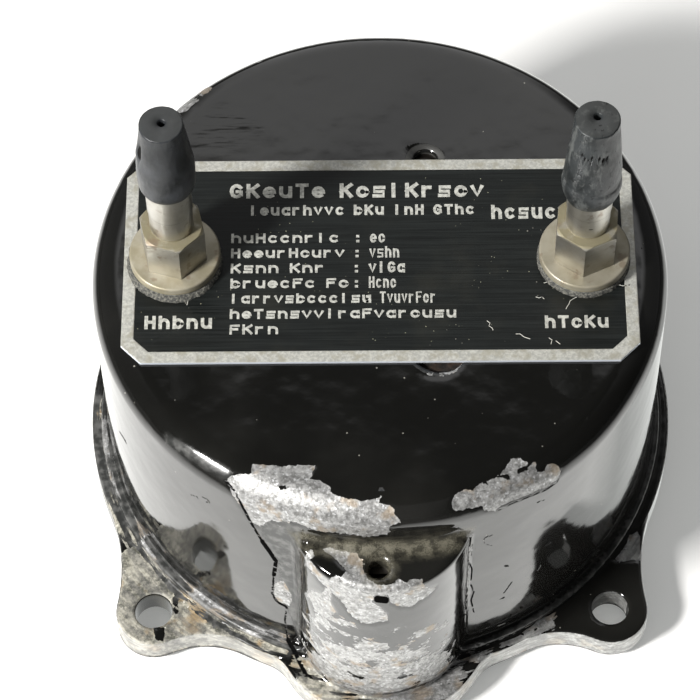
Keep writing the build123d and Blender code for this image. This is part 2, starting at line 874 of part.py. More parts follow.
def link_pin(height):
    """Headed pin that carries one end of the link, riveted in the blade beside it."""
    blade_x = -rocker_blade_t / 2 - blade_gap
    head_x = rocker_blade_t / 2 + blade_gap / 2
    pin = rod_x(link_pin_r, blade_x, head_x, 0, height)
    return pin + rod_x(link_pin_head_r, head_x, head_x + link_pin_r, 0, height)


def bracket_faces():
    """Inner faces of the two rocker brackets along X."""
    left_x = -rocker_blade_t * 1.5 - blade_gap - bracket_gap_left
    right_x = drive_pin_x + fork_width() / 2 + bracket_gap_right
    return left_x, right_x


def rocker_brackets():
    """Two angle brackets on the bridge plate with the bearings of the rocking shaft."""
    low_z = bridge_z + bridge_t
    high_z = rocker_z + bracket_rise
    low_y = lift_arm - bracket_w / 2
    high_y = lift_arm + bracket_w / 2
    left_x, right_x = bracket_faces()
    brackets = []
    for face_x, side in ((left_x, -1), (right_x, 1)):
        wall_x = sorted((face_x, face_x + side * bracket_t))
        foot_x = sorted((face_x, face_x + side * bracket_foot_l))
        bracket = block((wall_x[0], low_y, low_z), (wall_x[1], high_y, high_z))
        bracket += block((foot_x[0], low_y, low_z), (foot_x[1], high_y, low_z + bracket_foot_t))
        bracket -= rod_x(pivot_r + running_gap, wall_x[0], wall_x[1], lift_arm, rocker_z)
        brackets.append(bracket)
    return Compound(brackets)


def link():
    """Flat link between the lift arm and the stud of the capsule."""
    half_t = rocker_blade_t / 2
    half_w = rocker_blade_w / 2
    bar = block((-half_t, -half_w, rocker_z), (half_t, half_w, stud_pin_z))
    for height in (rocker_z, stud_pin_z):
        bar += rod_x(eye_r, -half_t, half_t, 0, height)
    for height, gap in ((rocker_z, running_gap), (stud_pin_z, open_pivot_gap)):
        bar -= rod_x(link_pin_r + gap, -half_t, half_t, 0, height)
    return bar


def capsule_stud():
    """Stud on the middle of the capsule with the blade and pin for the link."""
    high_x = -rocker_blade_t / 2 - blade_gap
    low_x = high_x - rocker_blade_t
    foot_z = capsule_z - stud_foot_t
    stud = rod(stud_foot_r, foot_z, capsule_z)
    stud += block((low_x, -eye_r, stud_pin_z), (high_x, eye_r, foot_z))
    stud += rod_x(eye_r, low_x, high_x, 0, stud_pin_z)
    return stud + link_pin(stud_pin_z)


def diaphragm(side):
    """Corrugated disc of the capsule, on one side of the soldered rim."""
    depth = capsule_t / 2 - diaphragm_t
    inner_r = hub_r + capsule_boss_margin
    outer_r = capsule_r - capsule_rim_w
    waves = 2 * corrugations
    outside = [(0, depth), (inner_r, depth)]
    for index in range(1, waves):
        share = index / waves
        swing = corrugation_h / 2 if index % 2 else -corrugation_h / 2
        outside.append((inner_r + (outer_r - inner_r) * share, depth * (1 - share**2) + swing))
    outside += [(outer_r, 0), (capsule_r, 0)]
    profile = [(r, capsule_mid_z + side * z) for r, z in outside]
    profile += [(r, capsule_mid_z + side * (z + diaphragm_t)) for r, z in reversed(outside)]
    return turned(*profile)


def front_diaphragm():
    """Disc of the capsule that moves the stud."""
    return diaphragm(-1)


def rear_diaphragm():
    """Disc of the capsule on the hub, pierced for the pressure."""
    return diaphragm(1) - rod(pipe_r, capsule_mid_z, capsule_rear_z)


def capsule_hub():
    """Hub that carries the capsule on the base plate and joins pipe and capillary to it."""
    hub = rod(hub_r, capsule_rear_z, base_plate_z)
    hub += rod(hub_neck_r, base_plate_z, back_inner_z)
    hub -= rod(pipe_r, capsule_rear_z, pipe_z)
    hub -= rod_x(pipe_bore_r, -hub_r, hub_r, 0, pipe_z)
    hub -= rod_x(pipe_r, hub_r - pipe_seat, hub_r, 0, pipe_z)
    return hub - rod_x(capillary_sleeve_r, -hub_r, pipe_seat - hub_r, 0, pipe_z)


def pressure_pipe():
    """Pipe from the flask fitting to the hub of the capsule."""
    low_x = hub_r - pipe_seat
    high_x = fitting_x - shank_r + pipe_seat / 2
    return rod_x(pipe_r, low_x, high_x, 0, pipe_z) - rod_x(pipe_bore_r, low_x, high_x, 0, pipe_z)


def capillary_sleeve():
    """Sleeve in the hub that holds the glass capillary."""
    high_x = pipe_seat - hub_r
    low_x = high_x - capillary_sleeve_l
    return rod_x(capillary_sleeve_r, low_x, high_x, 0, pipe_z) - rod_x(capillary_r, low_x, high_x, 0, pipe_z)


def leak_capillary():
    """Glass capillary, the leak that makes the instrument read a rate."""
    high_x = pipe_seat - hub_r - capillary_inset
    low_x = pipe_seat - hub_r - capillary_sleeve_l - capillary_proud
    return rod_x(capillary_r, low_x, high_x, 0, pipe_z) - rod_x(capillary_bore_r, low_x, high_x, 0, pipe_z)


def spindle_bush():
    """Bush of the zero spindle, pressed into the front wall of the boss."""
    seat_z = spindle_sink + spindle_head_t + end_gap
    bush = rod(bush_r, 0, boss_cavity_z, 0, spindle_y)
    bush -= rod(spindle_r + running_gap, 0, boss_cavity_z, 0, spindle_y)
    return bush - rod(spindle_head_r + running_gap, 0, seat_z + spindle_seal_t, 0, spindle_y)


def spindle_seal():
    """Rubber ring behind the head of the zero spindle."""
    low_z = spindle_sink + spindle_head_t + end_gap
    high_z = low_z + spindle_seal_t
    return tube(spindle_head_r + running_gap, spindle_r + running_gap, low_z, high_z, 0, spindle_y)


def zero_spindle():
    """Slotted spindle with the crank pin that swings the zero lever."""
    spindle = rod(spindle_head_r, spindle_sink, spindle_sink + spindle_head_t, 0, spindle_y)
    spindle += rod(spindle_r, spindle_sink, crank_z, 0, spindle_y)
    spindle += rod(crank_r, crank_z, crank_z + crank_t, 0, spindle_y)
    spindle += rod(crank_pin_r, crank_z, lever_z + lever_t + crank_pin_proud, 0, spindle_y + crank_throw)
    half = spindle_slot_w / 2
    low = (-spindle_head_r, spindle_y - half, spindle_sink)
    return spindle - block(low, (spindle_head_r, spindle_y + half, spindle_sink + spindle_slot_t))


def spindle_clip():
    """Clip that keeps the zero spindle in its bush."""
    low_z = boss_cavity_z + end_gap
    return tube(spindle_clip_r, spindle_r, low_z, low_z + spindle_clip_t, 0, spindle_y)


def zero_lever():
    """Lever that turns about the pointer axis and is forked around the crank pin."""
    high_z = lever_z + lever_t
    ring_r = bearing_collar_r + running_gap + lever_ring_w
    pin_y = spindle_y + crank_throw
    slot = crank_pin_r + crank_play
    fork_half = slot + lever_tine_w
    fork_top_y = pin_y + 3 * crank_pin_r
    crown_top_y = fork_top_y + lever_crown_w
    lever = rod(ring_r, lever_z, high_z)
    lever += block((-lever_w / 2, fork_top_y, lever_z), (lever_w / 2, 0, high_z))
    lever += block((-fork_half, pin_y - 2 * crank_pin_r, lever_z), (fork_half, crown_top_y, high_z))
    lever -= block((-slot, pin_y - 2 * crank_pin_r, lever_z), (slot, pin_y + 1.5 * crank_pin_r, high_z))
    lever -= rod(bearing_collar_r + running_gap, lever_z, high_z)
    return lever


def spring_stud():
    """Pin under the zero lever that holds the outer end of the hairspring."""
    stud_y = -hairspring_outer_r - hairspring_t - spring_stud_r - running_gap
    return rod(spring_stud_r, collet_z, lever_z, 0, stud_y)


def lever_clip():
    """Spring clip on the collar that keeps the zero lever in place."""
    return tube(bearing_collar_r + lever_clip_w, bearing_collar_r, lever_clip_z, lever_z - end_gap / 2)


def hose_fitting(x, turn, cross_drilled):
    """Turned fitting: shank through the back, hexagon, neck, collar and barbed nipple."""
    body = rod(shank_r, shank_end_z, hexagon_z, x)
    prism = hexagon(hexagon_af, hexagon_z, neck_z, turn, x)
    corner_r = hexagon_af / sqrt(3)
    cone_h = hexagon_h + hexagon_chamfer
    hanging = (Align.CENTER, Align.CENTER, Align.MAX)
    cone = Cone(corner_r + hexagon_h, corner_r - hexagon_chamfer, cone_h, align=hanging)
    body += prism & (Pos(x, 0, neck_z) * cone)
    body += rod(neck_r, neck_z, collar_z, x)
    collar = rod(collar_r, collar_z, nipple_z, x)
    body += chamfer(collar.edges().sort_by(Axis.Z)[-1], cap_edge_r)
    body += rod(nipple_r, nipple_z, nipple_top_z, x)
    barb_h = nipple_h / barb_count
    for index in range(barb_count):
        barb = Cone(barb_r, nipple_r, barb_h / 2, align=(Align.CENTER, Align.CENTER, Align.MIN))
        body += Pos(x, 0, nipple_z + (index + 0.4) * barb_h) * barb
    if cross_drilled:
        body -= rod(passage_r, pipe_z - pipe_r, nipple_top_z, x)
        return body - rod_x(pipe_r, x - shank_r, x, 0, pipe_z)
    return body - rod(passage_r, shank_end_z, nipple_top_z, x)


def static_fitting():
    """Left fitting, open into the case."""
    return hose_fitting(-fitting_x, left_hexagon_turn, False)


def flask_fitting():
    """Right fitting, cross drilled for the pipe to the capsule."""
    return hose_fitting(fitting_x, right_hexagon_turn, True)


def fitting_nuts():
    """Thin nuts inside the back."""
    nuts = []
    for x in (-fitting_x, fitting_x):
        nut = hexagon(nut_af, back_inner_z - nut_t, back_inner_z, 0, x)
        nuts.append(nut - rod(shank_r, back_inner_z - nut_t, back_inner_z, x))
    return Compound(nuts)


def sealing_rings():
    """Soft rings between the name plate and the washers."""
    places = (-fitting_x, fitting_x)
    return Compound([tube(sealing_ring_r, shank_r, plate_rear_z, washer_z, x) for x in places])


def fitting_washers():
    """Plated washers under the hexagons."""
    places = (-fitting_x, fitting_x)
    return Compound([tube(washer_r, shank_r, washer_z, hexagon_z, x) for x in places])


def rubber_cap(x, lift, length, bulge_r, top_r):
    """Moulded rubber cap, bulged where it is stretched over the collar, with a pin hole in the roof."""
    low_z = neck_z + lift
    high_z = low_z + length
    mouth_r = collar_r + cap_gap
    bore_r = barb_r + cap_gap
    step_z = nipple_z + cap_step_gap
    roof_z = nipple_top_z + cap_roof_gap
    bulge_z = low_z + cap_bulge_rise
    side = Line((bulge_r, bulge_z), (top_r, high_z - cap_edge_r))
    lip = Spline((mouth_r + cap_lip_w, low_z), (bulge_r, bulge_z), tangents=[(1, 0.6), side % 0])
    edge = RadiusArc((top_r, high_z - cap_edge_r), (top_r - cap_edge_r, high_z), -cap_edge_r)
    inside = Polyline(
        (top_r - cap_edge_r, high_z),
        (cap_hole_r, high_z),
        (cap_hole_r, roof_z),
        (bore_r, roof_z),
        (bore_r, step_z),
        (mouth_r, step_z),
        (mouth_r, low_z),
        (mouth_r + cap_lip_w, low_z),
    )
    profile = make_face(Plane.XZ * Curve([lip, side, edge, inside]))
    return Pos(x, 0, 0) * revolve(profile, Axis.Z)


def left_rubber_cap():
    """Short cap on the static fitting."""
    return rubber_cap(-fitting_x, left_cap_lift, left_cap_l, left_cap_bulge_r, left_cap_top_r)


def right_rubber_cap():
    """Long cap on the flask fitting."""
    return rubber_cap(fitting_x, right_cap_lift, right_cap_l, right_cap_bulge_r, right_cap_top_r)


def plate_outline(inset):
    """Rectangle with cut corners, inset all round."""
    face = Rectangle(plate_l - 2 * inset, plate_w - 2 * inset)
    return chamfer(face.vertices(), plate_corner - inset * 0.4)


def name_plate():
    """Etched plate: bare border around a sunk field."""
    plate = extrude(Pos(0, 0, case_depth) * plate_outline(0), plate_t)
    plate -= extrude(Pos(0, 0, plate_rear_z - field_depth) * plate_outline(plate_border), field_depth)
    for x in (-fitting_x, fitting_x):
        plate -= rod(shank_r, case_depth, plate_rear_z, x)
    return plate


def plate_field():
    """Black enamel that fills the etched field."""
    field = extrude(Pos(0, 0, plate_rear_z - field_depth) * plate_outline(plate_border), field_depth)
    for x in (-fitting_x, fitting_x):
        field -= rod(shank_r, plate_rear_z - field_depth, plate_rear_z, x)
    return field


def plate_print():
    """Rows of plain bars in the places of the print: a title, data rows with values, port labels."""
    bars = [
        (print_left, title_y, title_l, title_h),
        (print_left + subtitle_inset, subtitle_y, subtitle_l, print_h),
        (fitting_x - edge_label_reach, edge_label_y, edge_label_l, edge_label_h),
        (-fitting_x - left_label_reach, left_label_y, left_label_l, port_label_h),
        (fitting_x - right_label_reach, right_label_y, right_label_l, port_label_h),
    ]
    row_shares = [0.43, 0.45, 0.37, 0.47, 0.51, 0.86, 0.19]
    value_shares = [0.06, 0.12, 0.14, 0.11, 0.26]
    for index, share in enumerate(row_shares):
        bars.append((print_left, print_first_y - index * print_pitch, share * title_l, print_h))
    for index, share in enumerate(value_shares):
        bars.append((print_value_x, print_first_y - index * print_pitch, share * title_l, print_h))
    solids = []
    for left, middle, length, height in bars:
        bar = Box(length, height, print_proud, align=(Align.MIN, Align.CENTER, Align.MIN))
        solids.append(Pos(left, middle, plate_rear_z) * bar)
    return Compound(solids)


nodes = [
    case_body,
    boss_grub_screw,
    frame_screws,
    access_plug,
    bezel_ring,
    front_glass,
    glass_gasket,
    dial,
    dial_marks,
    dial_screws,
    dial_posts,
    pointer,
    pointer_arbor,
    gear_sector,
    hairspring_collet,
    hairspring,
    front_plate,
    bridge_plate,
    bridge_pillars,
    bridge_screws,
    frame_pillars,
    pillar_screws,
    base_plate,
    rocking_shaft,
    rocker_brackets,
    link,
    capsule_stud,
    front_diaphragm,
    rear_diaphragm,
    capsule_hub,
    pressure_pipe,
    capillary_sleeve,
    leak_capillary,
    spindle_bush,
    spindle_seal,
    zero_spindle,
    spindle_clip,
    zero_lever,
    spring_stud,
    lever_clip,
    static_fitting,
    flask_fitting,
    fitting_nuts,
    sealing_rings,
    fitting_washers,
    left_rubber_cap,
    right_rubber_cap,
    name_plate,
    plate_field,
    plate_print,
]

os.makedirs("parts", exist_ok=True)
for make in nodes:
    export_step(make(), os.path.join("parts", make.__name__ + ".step"))
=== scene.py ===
"""Vertical speed indicator for an aircraft panel, standing on its dial on a white table."""
import functools
import math
import random

import bmesh
import bpy
import numpy as np
from mathutils import Matrix, Vector, noise


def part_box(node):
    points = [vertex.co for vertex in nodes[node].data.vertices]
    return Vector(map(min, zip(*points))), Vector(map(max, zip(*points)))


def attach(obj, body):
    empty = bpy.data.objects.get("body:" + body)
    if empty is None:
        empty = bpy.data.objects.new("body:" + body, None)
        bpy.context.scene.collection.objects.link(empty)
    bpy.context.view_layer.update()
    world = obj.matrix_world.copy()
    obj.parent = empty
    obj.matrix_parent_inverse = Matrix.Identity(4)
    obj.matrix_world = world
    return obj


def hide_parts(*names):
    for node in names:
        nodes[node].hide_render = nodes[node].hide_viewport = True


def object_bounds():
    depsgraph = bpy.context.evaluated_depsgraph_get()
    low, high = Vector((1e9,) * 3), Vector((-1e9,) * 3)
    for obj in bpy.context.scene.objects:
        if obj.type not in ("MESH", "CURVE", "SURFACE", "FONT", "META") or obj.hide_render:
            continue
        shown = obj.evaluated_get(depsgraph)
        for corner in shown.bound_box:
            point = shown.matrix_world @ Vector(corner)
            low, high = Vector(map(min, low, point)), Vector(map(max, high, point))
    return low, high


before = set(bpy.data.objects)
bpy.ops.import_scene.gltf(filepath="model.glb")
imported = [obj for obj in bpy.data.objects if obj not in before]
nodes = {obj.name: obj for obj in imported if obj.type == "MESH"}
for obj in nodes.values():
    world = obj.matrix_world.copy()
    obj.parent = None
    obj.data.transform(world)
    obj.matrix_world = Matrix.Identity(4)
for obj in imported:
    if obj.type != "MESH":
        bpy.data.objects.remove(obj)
cad_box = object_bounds()
mm = 0.001

# Camera, held above the boss side and looking down on the back of the case. Its place and
# turn were worked out from the drum, the flange holes and the name plate.
photo_px = 700
focal_px = 3121.5
film_width = 36.0
eye = Vector((-1.033, -226.260, 407.479)) * mm
right = Vector((0.99994997, -0.00224934, -0.00974623))
up = Vector((0.00687195, 0.86250956, 0.5059941))
back = right.cross(up)
scene = bpy.context.scene


def new_object(name, data):
    """An object of the scene that shows the data."""
    made = bpy.data.objects.new(name, data)
    scene.collection.objects.link(made)
    return made


camera_data = bpy.data.cameras.new("camera")
camera_data.sensor_width = film_width
camera_data.lens = focal_px * film_width / photo_px
camera_data.clip_start = 0.01
camera = new_object("camera", camera_data)
camera.matrix_world = Matrix.Translation(eye) @ Matrix((right, up, back)).transposed().to_4x4()
scene.camera = camera
scene.view_settings.view_transform = "Standard"

# Table and room: a plain white table top, a pale wall that stands low around it and a dark ceiling,
# which is what the flat black back mirrors. Daylight falls in from the front left.
table_half = 3.0
table_z = cad_box[0].z
ear_place = 32.6 * mm


def add(kind, *sources, **settings):
    """A shader node in the current tree, with its first inputs filled in order by sockets or values."""
    made = tree.nodes.new("ShaderNode" + kind)
    for name, value in settings.items():
        setattr(made, name, value)
    for place, source in zip(made.inputs, sources):
        if isinstance(source, bpy.types.NodeSocket):
            tree.links.new(source, place)
        elif source is not None:
            place.default_value = source
    return made


def calc(operation, *sources):
    """The result of one sum."""
    return add("Math", *sources, operation=operation).outputs[0]


operations = ("MULTIPLY", "ADD", "SUBTRACT", "MAXIMUM")
times, plus, minus, larger = (functools.partial(calc, operation) for operation in operations)


def mixed(factor, first, second):
    """A value between two, by a factor from 0 to 1."""
    return add("Mix", factor, None, first, second).outputs[0]


def span(operation, *places):
    """The length of one place or the distance of two."""
    return add("VectorMath", *places, operation=operation).outputs["Value"]


def along(axis, source):
    """One part of a place or direction."""
    return add("SeparateXYZ", source).outputs[axis]


def here():
    """The place on a piece, in metres of the frame."""
    return add("TexCoord").outputs["Object"]


def grade(source, low, high, low_out=0.0, high_out=1.0):
    """A value that eases from one level to another while the source runs from low to high."""
    made = add("MapRange", source, low, high, low_out, high_out, interpolation_type="SMOOTHSTEP")
    return made.outputs[0]


def tint(factor, first, second):
    """A colour between two, by a factor from 0 to 1."""
    made = tree.nodes.new("ShaderNodeMix")
    made.data_type = "RGBA"
    sockets = {s.identifier: s for s in made.inputs}
    for key, source in (("Factor_Float", factor), ("A_Color", first), ("B_Color", second)):
        if isinstance(source, bpy.types.NodeSocket):
            tree.links.new(source, sockets[key])
        else:
            sockets[key].default_value = source if key == "Factor_Float" else (*source, 1.0)
    return next(s for s in made.outputs if s.identifier == "Result_Color")


def emptied(owner):
    """Makes the owner's node tree, without its nodes, the current one."""
    global tree
    owner.use_nodes = True
    tree = owner.node_tree
    tree.nodes.clear()


def new_material(name):
    """A material of that name, whose tree is the current one."""
    material = bpy.data.materials.new(name)
    emptied(material)
    return material


room = bpy.data.worlds.new("room")
scene.world = room
emptied(room)
direction = add("TexCoord").outputs["Generated"]
rays = add("LightPath")
wall = grade(along("Z", direction), 0.825, 0.87, 1.0, 0.012)
sideways = calc("ABSOLUTE", along("X", direction))
wall = times(wall, grade(sideways, 0.15, 0.45, 1.0, 0.12))
mirrored = times(wall, grade(along("Y", direction), 0.0, 0.40, 0.12, 1.0))
soft_light = grade(along("X", direction), -0.7, 0.7, 0.48, 0.20)
light = larger(soft_light, rays.outputs["Is Camera Ray"])
gloss = larger(rays.outputs["Is Glossy Ray"], rays.outputs["Is Transmission Ray"])
gloss = times(gloss, minus(1.0, rays.outputs["Is Camera Ray"]))
background = add("Background", (1.0, 1.0, 1.0, 1.0), mixed(gloss, light, mirrored))
tree.links.new(background.outputs[0], add("OutputWorld").inputs[0])

table_mesh = bpy.data.meshes.new("table_top")
corners = [(-table_half, -table_half, table_z), (table_half, -table_half, table_z)]
corners += [(table_half, table_half, table_z), (-table_half, table_half, table_z)]
table_mesh.from_pydata(corners, [], [(0, 1, 2, 3)])
table = new_object("table_top", table_mesh)
material = new_material("table_white")
place = here()
rays = add("LightPath")
shown = larger(rays.outputs["Is Camera Ray"], rays.outputs["Is Transmission Ray"])
mirrors = rays.outputs["Is Glossy Ray"]
grain = add("TexNoise", place, None, 60.0, 4.0).outputs[0]
paper = tint(grain, (0.80, 0.79, 0.78), (0.90, 0.895, 0.89))
# Painted light for mirrored rays: the table mirrors darker far off, with a painted shadow under the right
# front ear's hole, and its painted glow is dimmer at the far left.
reach = span("LENGTH", place)
mirror_fade_and_shadow = grade(reach, 0.085, 0.19, 1.0, 0.05)
ear_hole = span("DISTANCE", place, (ear_place, -ear_place, 0.0))
mirror_fade_and_shadow = larger(minus(mirror_fade_and_shadow, grade(ear_hole, 0.004, 0.006, 0.9, 0.0)), 0.0)
in_mirror = mixed(mirrors, 1.0, mirror_fade_and_shadow)
paper = tint(in_mirror, (0.0, 0.0, 0.0), paper)
sunny = grade(along("X", place), -0.065, -0.020, 0.43, 0.82)
painted_mirror_glow = times(mirror_fade_and_shadow, times(mirrors, sunny))
surface = add("BsdfDiffuse", paper)
glow = plus(times(shown, 0.21), painted_mirror_glow)
extra = add("Emission", (0.975, 1.0, 0.965, 1.0), glow)
both = add("AddShader", surface.outputs[0], extra.outputs[0])
tree.links.new(both.outputs[0], add("OutputMaterial").inputs[0])
table_mesh.materials.append(material)

daylight_data = bpy.data.lights.new("daylight", "AREA")
daylight_data.shape = "RECTANGLE"
daylight_data.size = daylight_data.size_y = 0.10
daylight_data.energy = 9.0
daylight_data.color = (1.0, 0.985, 0.96)
daylight = new_object("daylight", daylight_data)
daylight.location = (-0.46, -0.31, 0.44)
table_middle = Vector((0.0, 0.0, 0.02))
daylight.rotation_euler = (table_middle - daylight.location).to_track_quat("-Z", "Y").to_euler()

# Case: one aluminium casting with its flange, four ears, foot bead and boss. It was turned on the
# outside and stoved in gloss black enamel, which has since flaked off the rim, boss and left flange.
drum_r = 40.0 * mm
drum_draft = 0.5 * mm
rim_r = 4.0 * mm
back_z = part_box("case_body")[1].z
flange_top_z = 4.2 * mm
flange_r = 42.6 * mm
bead_r = 41.2 * mm
bead_top_z = 5.3 * mm
bead_edge_r = 0.5 * mm
boss_r = 12.4 * mm
boss_y = -34.0 * mm
boss_top_z = back_z - 7.4 * mm
boss_rim_r = 1.0 * mm
root_r = 1.8 * mm
snap_reach = 0.08 * mm
inner_r = 38.3 * mm
inner_top_z = 43.0 * mm
boss_inner_r = 11.5 * mm
boss_inner_top_z = 34.0 * mm
front_skin = 0.3 * mm
seen_edge = 0.75 * mm
far_edge = 1.5 * mm
hidden_edge = 1000 * mm
enamel_t = 0.12 * mm
px_per_mm = 7.45


def wall_r(z):
    """Radius of the slightly tapered drum wall at a height."""
    return drum_r - drum_draft * (z - flange_top_z) / (back_z - flange_top_z)


def hidden_inside(point):
    """Whether a point of the casting lies on its inner walls or its front face."""
    radius = math.hypot(point.x, point.y)
    inner = radius < inner_r and point.z < inner_top_z
    boss_inner = math.hypot(point.x, point.y - boss_y) < boss_inner_r and point.z < boss_inner_top_z
    return inner or boss_inner or point.z < front_skin


def edge_limit(point):
    """How long an edge of the mesh may be at a point."""
    if hidden_inside(point):
        return hidden_edge
    on_bead = point.z < 5.6 * mm and math.hypot(point.x, point.y) < flange_r and point.y < 12 * mm
    near = point.y < -8 * mm
    return seen_edge if near or on_bead else far_edge


def refined(node, passes):
    """A closed copy of a solid's mesh whose edges are halved until they keep to their limit."""
    made = bmesh.new()
    made.from_mesh(nodes[node].data)
    bmesh.ops.remove_doubles(made, verts=made.verts[:], dist=0.002 * mm)
    for _ in range(passes):
        middles = [(edge, (edge.verts[0].co + edge.verts[1].co) / 2) for edge in made.edges]
        halves = [edge for edge, middle in middles if edge.calc_length() > edge_limit(middle)]
        if not halves:
            break
        bmesh.ops.subdivide_edges(made, edges=halves, cuts=1)
        bmesh.ops.triangulate(made, faces=[f for f in made.faces if len(f.verts) > 3])
    return made


def onto_ring(point, x, y, ring_r, ring_z, tube_r):
    """The point moved onto a ring of round section about a vertical axis, if it is close to it."""
    out = Vector((point.x - x, point.y - y, 0))
    middle = Vector((x, y, ring_z)) + out.normalized() * ring_r
    reach = point - middle
    if abs(reach.length - tube_r) < snap_reach:
        return middle + reach.normalized() * tube_r
    return None


def onto_post(point, x, y, radius):
    """The point moved onto a vertical cylinder, if it is close to it."""
    out = Vector((point.x - x, point.y - y, 0))
    if abs(out.length - radius) < snap_reach:
        return Vector((x, y, point.z)) + out.normalized() * radius
    return None


def true_place(point):
    """The place of a mesh point on the true rounded form, which the flat facets cut across."""
    radius = math.hypot(point.x, point.y)
    if point.z > back_z - rim_r:
        ring = wall_r(back_z - rim_r) - rim_r
        return onto_ring(point, 0, 0, ring, back_z - rim_r, rim_r) if radius > ring else None
    boss_gap = math.hypot(point.x, point.y - boss_y)
    if point.y < boss_y and point.z > boss_top_z - boss_rim_r and boss_gap > boss_r - boss_rim_r:
        moved = onto_ring(point, 0, boss_y, boss_r - boss_rim_r, boss_top_z - boss_rim_r, boss_rim_r)
        if moved:
            return moved
    if point.z >= boss_top_z and point.y < boss_y and abs(point.x) < 10 * mm:
        moved = onto_ring(point, 0, 0, wall_r(boss_top_z) + root_r, boss_top_z + root_r, root_r)
        if moved:
            return moved
    if point.z > flange_top_z:
        bead_ring = bead_r - bead_edge_r
        if point.z > bead_top_z - bead_edge_r and bead_ring < radius < bead_r + snap_reach:
            return onto_ring(point, 0, 0, bead_ring, bead_top_z - bead_edge_r, bead_edge_r)
        on_wall = onto_post(point, 0, 0, wall_r(point.z)) or onto_post(point, 0, boss_y, boss_r)
        return on_wall or onto_post(point, 0, 0, bead_r)
    return onto_post(point, 0, 0, flange_r)


casting = refined("case_body", 7)
for vert in casting.verts:
    if not hidden_inside(vert.co):
        vert.co = true_place(vert.co) or vert.co
casting.normal_update()


def photo_pixels(points):
    """Where points of the frame fall in the photo, in its pixels."""
    seen = points - np.array(eye)
    depth = -(seen @ np.array(back))
    across = photo_px / 2 + focal_px * (seen @ np.array(right)) / depth
    down = photo_px / 2 - focal_px * (seen @ np.array(up)) / depth
    return np.stack((across, down), 1)


def line_distance(points, line):
    """Distance of each point to a line of straight pieces."""
    best = np.full(len(points), 1e6)
    for a, b in zip(line[:-1], line[1:]):
        start = np.array(a, float)
        run = np.array(b, float) - start
        share = np.clip(((points - start) @ run) / (run @ run), 0, 1)
        gap = points - start - share[:, None] * run
        best = np.minimum(best, np.hypot(gap[:, 0], gap[:, 1]))
    return best


def outline_distance(points, outline):
    """Distance of each point to a closed outline, negative inside it."""
    closed = outline + outline[:1]
    inside = np.zeros(len(points), bool)
    for (ax, ay), (bx, by) in zip(closed[:-1], closed[1:]):
        if ay == by:
            continue
        crosses = (ay > points[:, 1]) != (by > points[:, 1])
        inside ^= crosses & (points[:, 0] < ax + (points[:, 1] - ay) * (bx - ax) / (by - ay))
    best = line_distance(points, closed)
    return np.where(inside, -best, best)


def spots(*values):
    """Photo points, from their places across and down in turn."""
    return list(zip(values[::2], values[1::2]))


# Bare patches of the casting, as outlines in photo pixels.
rim_patch_left = spots(
    225, 480, 233, 475, 251, 474, 253, 464, 270, 465, 294, 465, 315, 466, 310, 478, 321, 481, 329, 487,
    332, 494, 344, 498, 364, 501, 381, 496, 377, 503, 393, 506, 395, 515, 401, 522, 389, 527, 389, 534,
    364, 538, 356, 535, 340, 534, 319, 531, 306, 528, 297, 524, 281, 521, 272, 520, 266, 523, 261, 528,
    253, 524, 236, 501,
)
rim_patch_right = spots(
    451, 502, 457, 493, 470, 487, 481, 484, 496, 477, 505, 469, 511, 460, 522, 458, 531, 464, 536, 462,
    538, 472, 544, 472, 545, 465, 554, 464, 562, 471, 557, 480, 546, 488, 526, 496, 511, 502, 499, 507,
    497, 511, 484, 511, 482, 506, 470, 508, 453, 511,
)
root_patch = spots(275, 584, 283, 580, 288, 588, 292, 600, 289, 605, 279, 602, 274, 594)
boss_patch = spots(
    311, 549, 314, 556, 310, 560, 318, 573, 328, 581, 336, 575, 342, 580, 346, 570, 337, 560, 322, 549,
    330, 547, 342, 551, 355, 553, 362, 560, 362, 568, 369, 578, 378, 585, 392, 584, 397, 579, 408, 583,
    411, 579, 422, 579, 424, 586, 430, 588, 437, 586, 428, 596, 419, 602, 412, 607, 398, 607, 390, 603,
    389, 596, 375, 595, 372, 603, 377, 606, 388, 615, 388, 621, 374, 624, 362, 623, 350, 614, 340, 600,
    331, 592, 330, 603, 336, 613, 326, 619, 315, 611, 306, 594, 312, 591, 322, 594, 326, 588, 318, 580,
    306, 566, 303, 556,
)
flange_patch_right = spots(614, 561, 622, 551, 630, 535, 640, 531, 641, 560, 630, 560)
flange_patch_front = spots(497, 647, 518, 637, 533, 632, 550, 621, 557, 621, 555, 627, 543, 632, 520, 643)
hole_chips = spots(421, 370, 431, 373, 442, 373, 451, 369, 458, 362, 463, 361, 456, 371, 446, 375, 430, 375)
ear_patch_left = spots(
    112, 560, 133, 545, 150, 565, 172, 592, 205, 620, 240, 640, 262, 660, 240, 668, 196, 664, 150, 662,
    120, 640, 114, 600,
)
left_foot = spots(
    92, 385, 104, 400, 108, 436, 116, 462, 128, 491, 146, 520, 164, 546, 189, 577, 219, 602, 254, 621,
    288, 634, 290, 656, 232, 644, 190, 616, 160, 584, 135, 553, 112, 530, 96, 480,
)
bare_patches = [
    rim_patch_left, rim_patch_right, root_patch, boss_patch, flange_patch_right, flange_patch_front,
    hole_chips, ear_patch_left,
]
enamel_islands = [
    spots(278, 487, 283, 485, 288, 485, 288, 489, 280, 489),
    spots(318, 494, 323, 491, 322, 496),
    spots(517, 469, 528, 466, 527, 471, 518, 474),
    spots(499, 475, 509, 474, 510, 479, 500, 478),
    spots(484, 484, 489, 482, 489, 485, 484, 487),
    spots(470, 489, 473, 487, 473, 491, 470, 492),
    spots(374, 596, 389, 596, 389, 603, 373, 603),
    spots(154, 627, 164, 627, 165, 641, 155, 641),
    spots(172, 594, 178, 596, 179, 612, 174, 614),
    spots(212, 624, 217, 623, 218, 628, 213, 629),
    spots(112, 528, 133, 533, 140, 546, 122, 551, 112, 545),
]
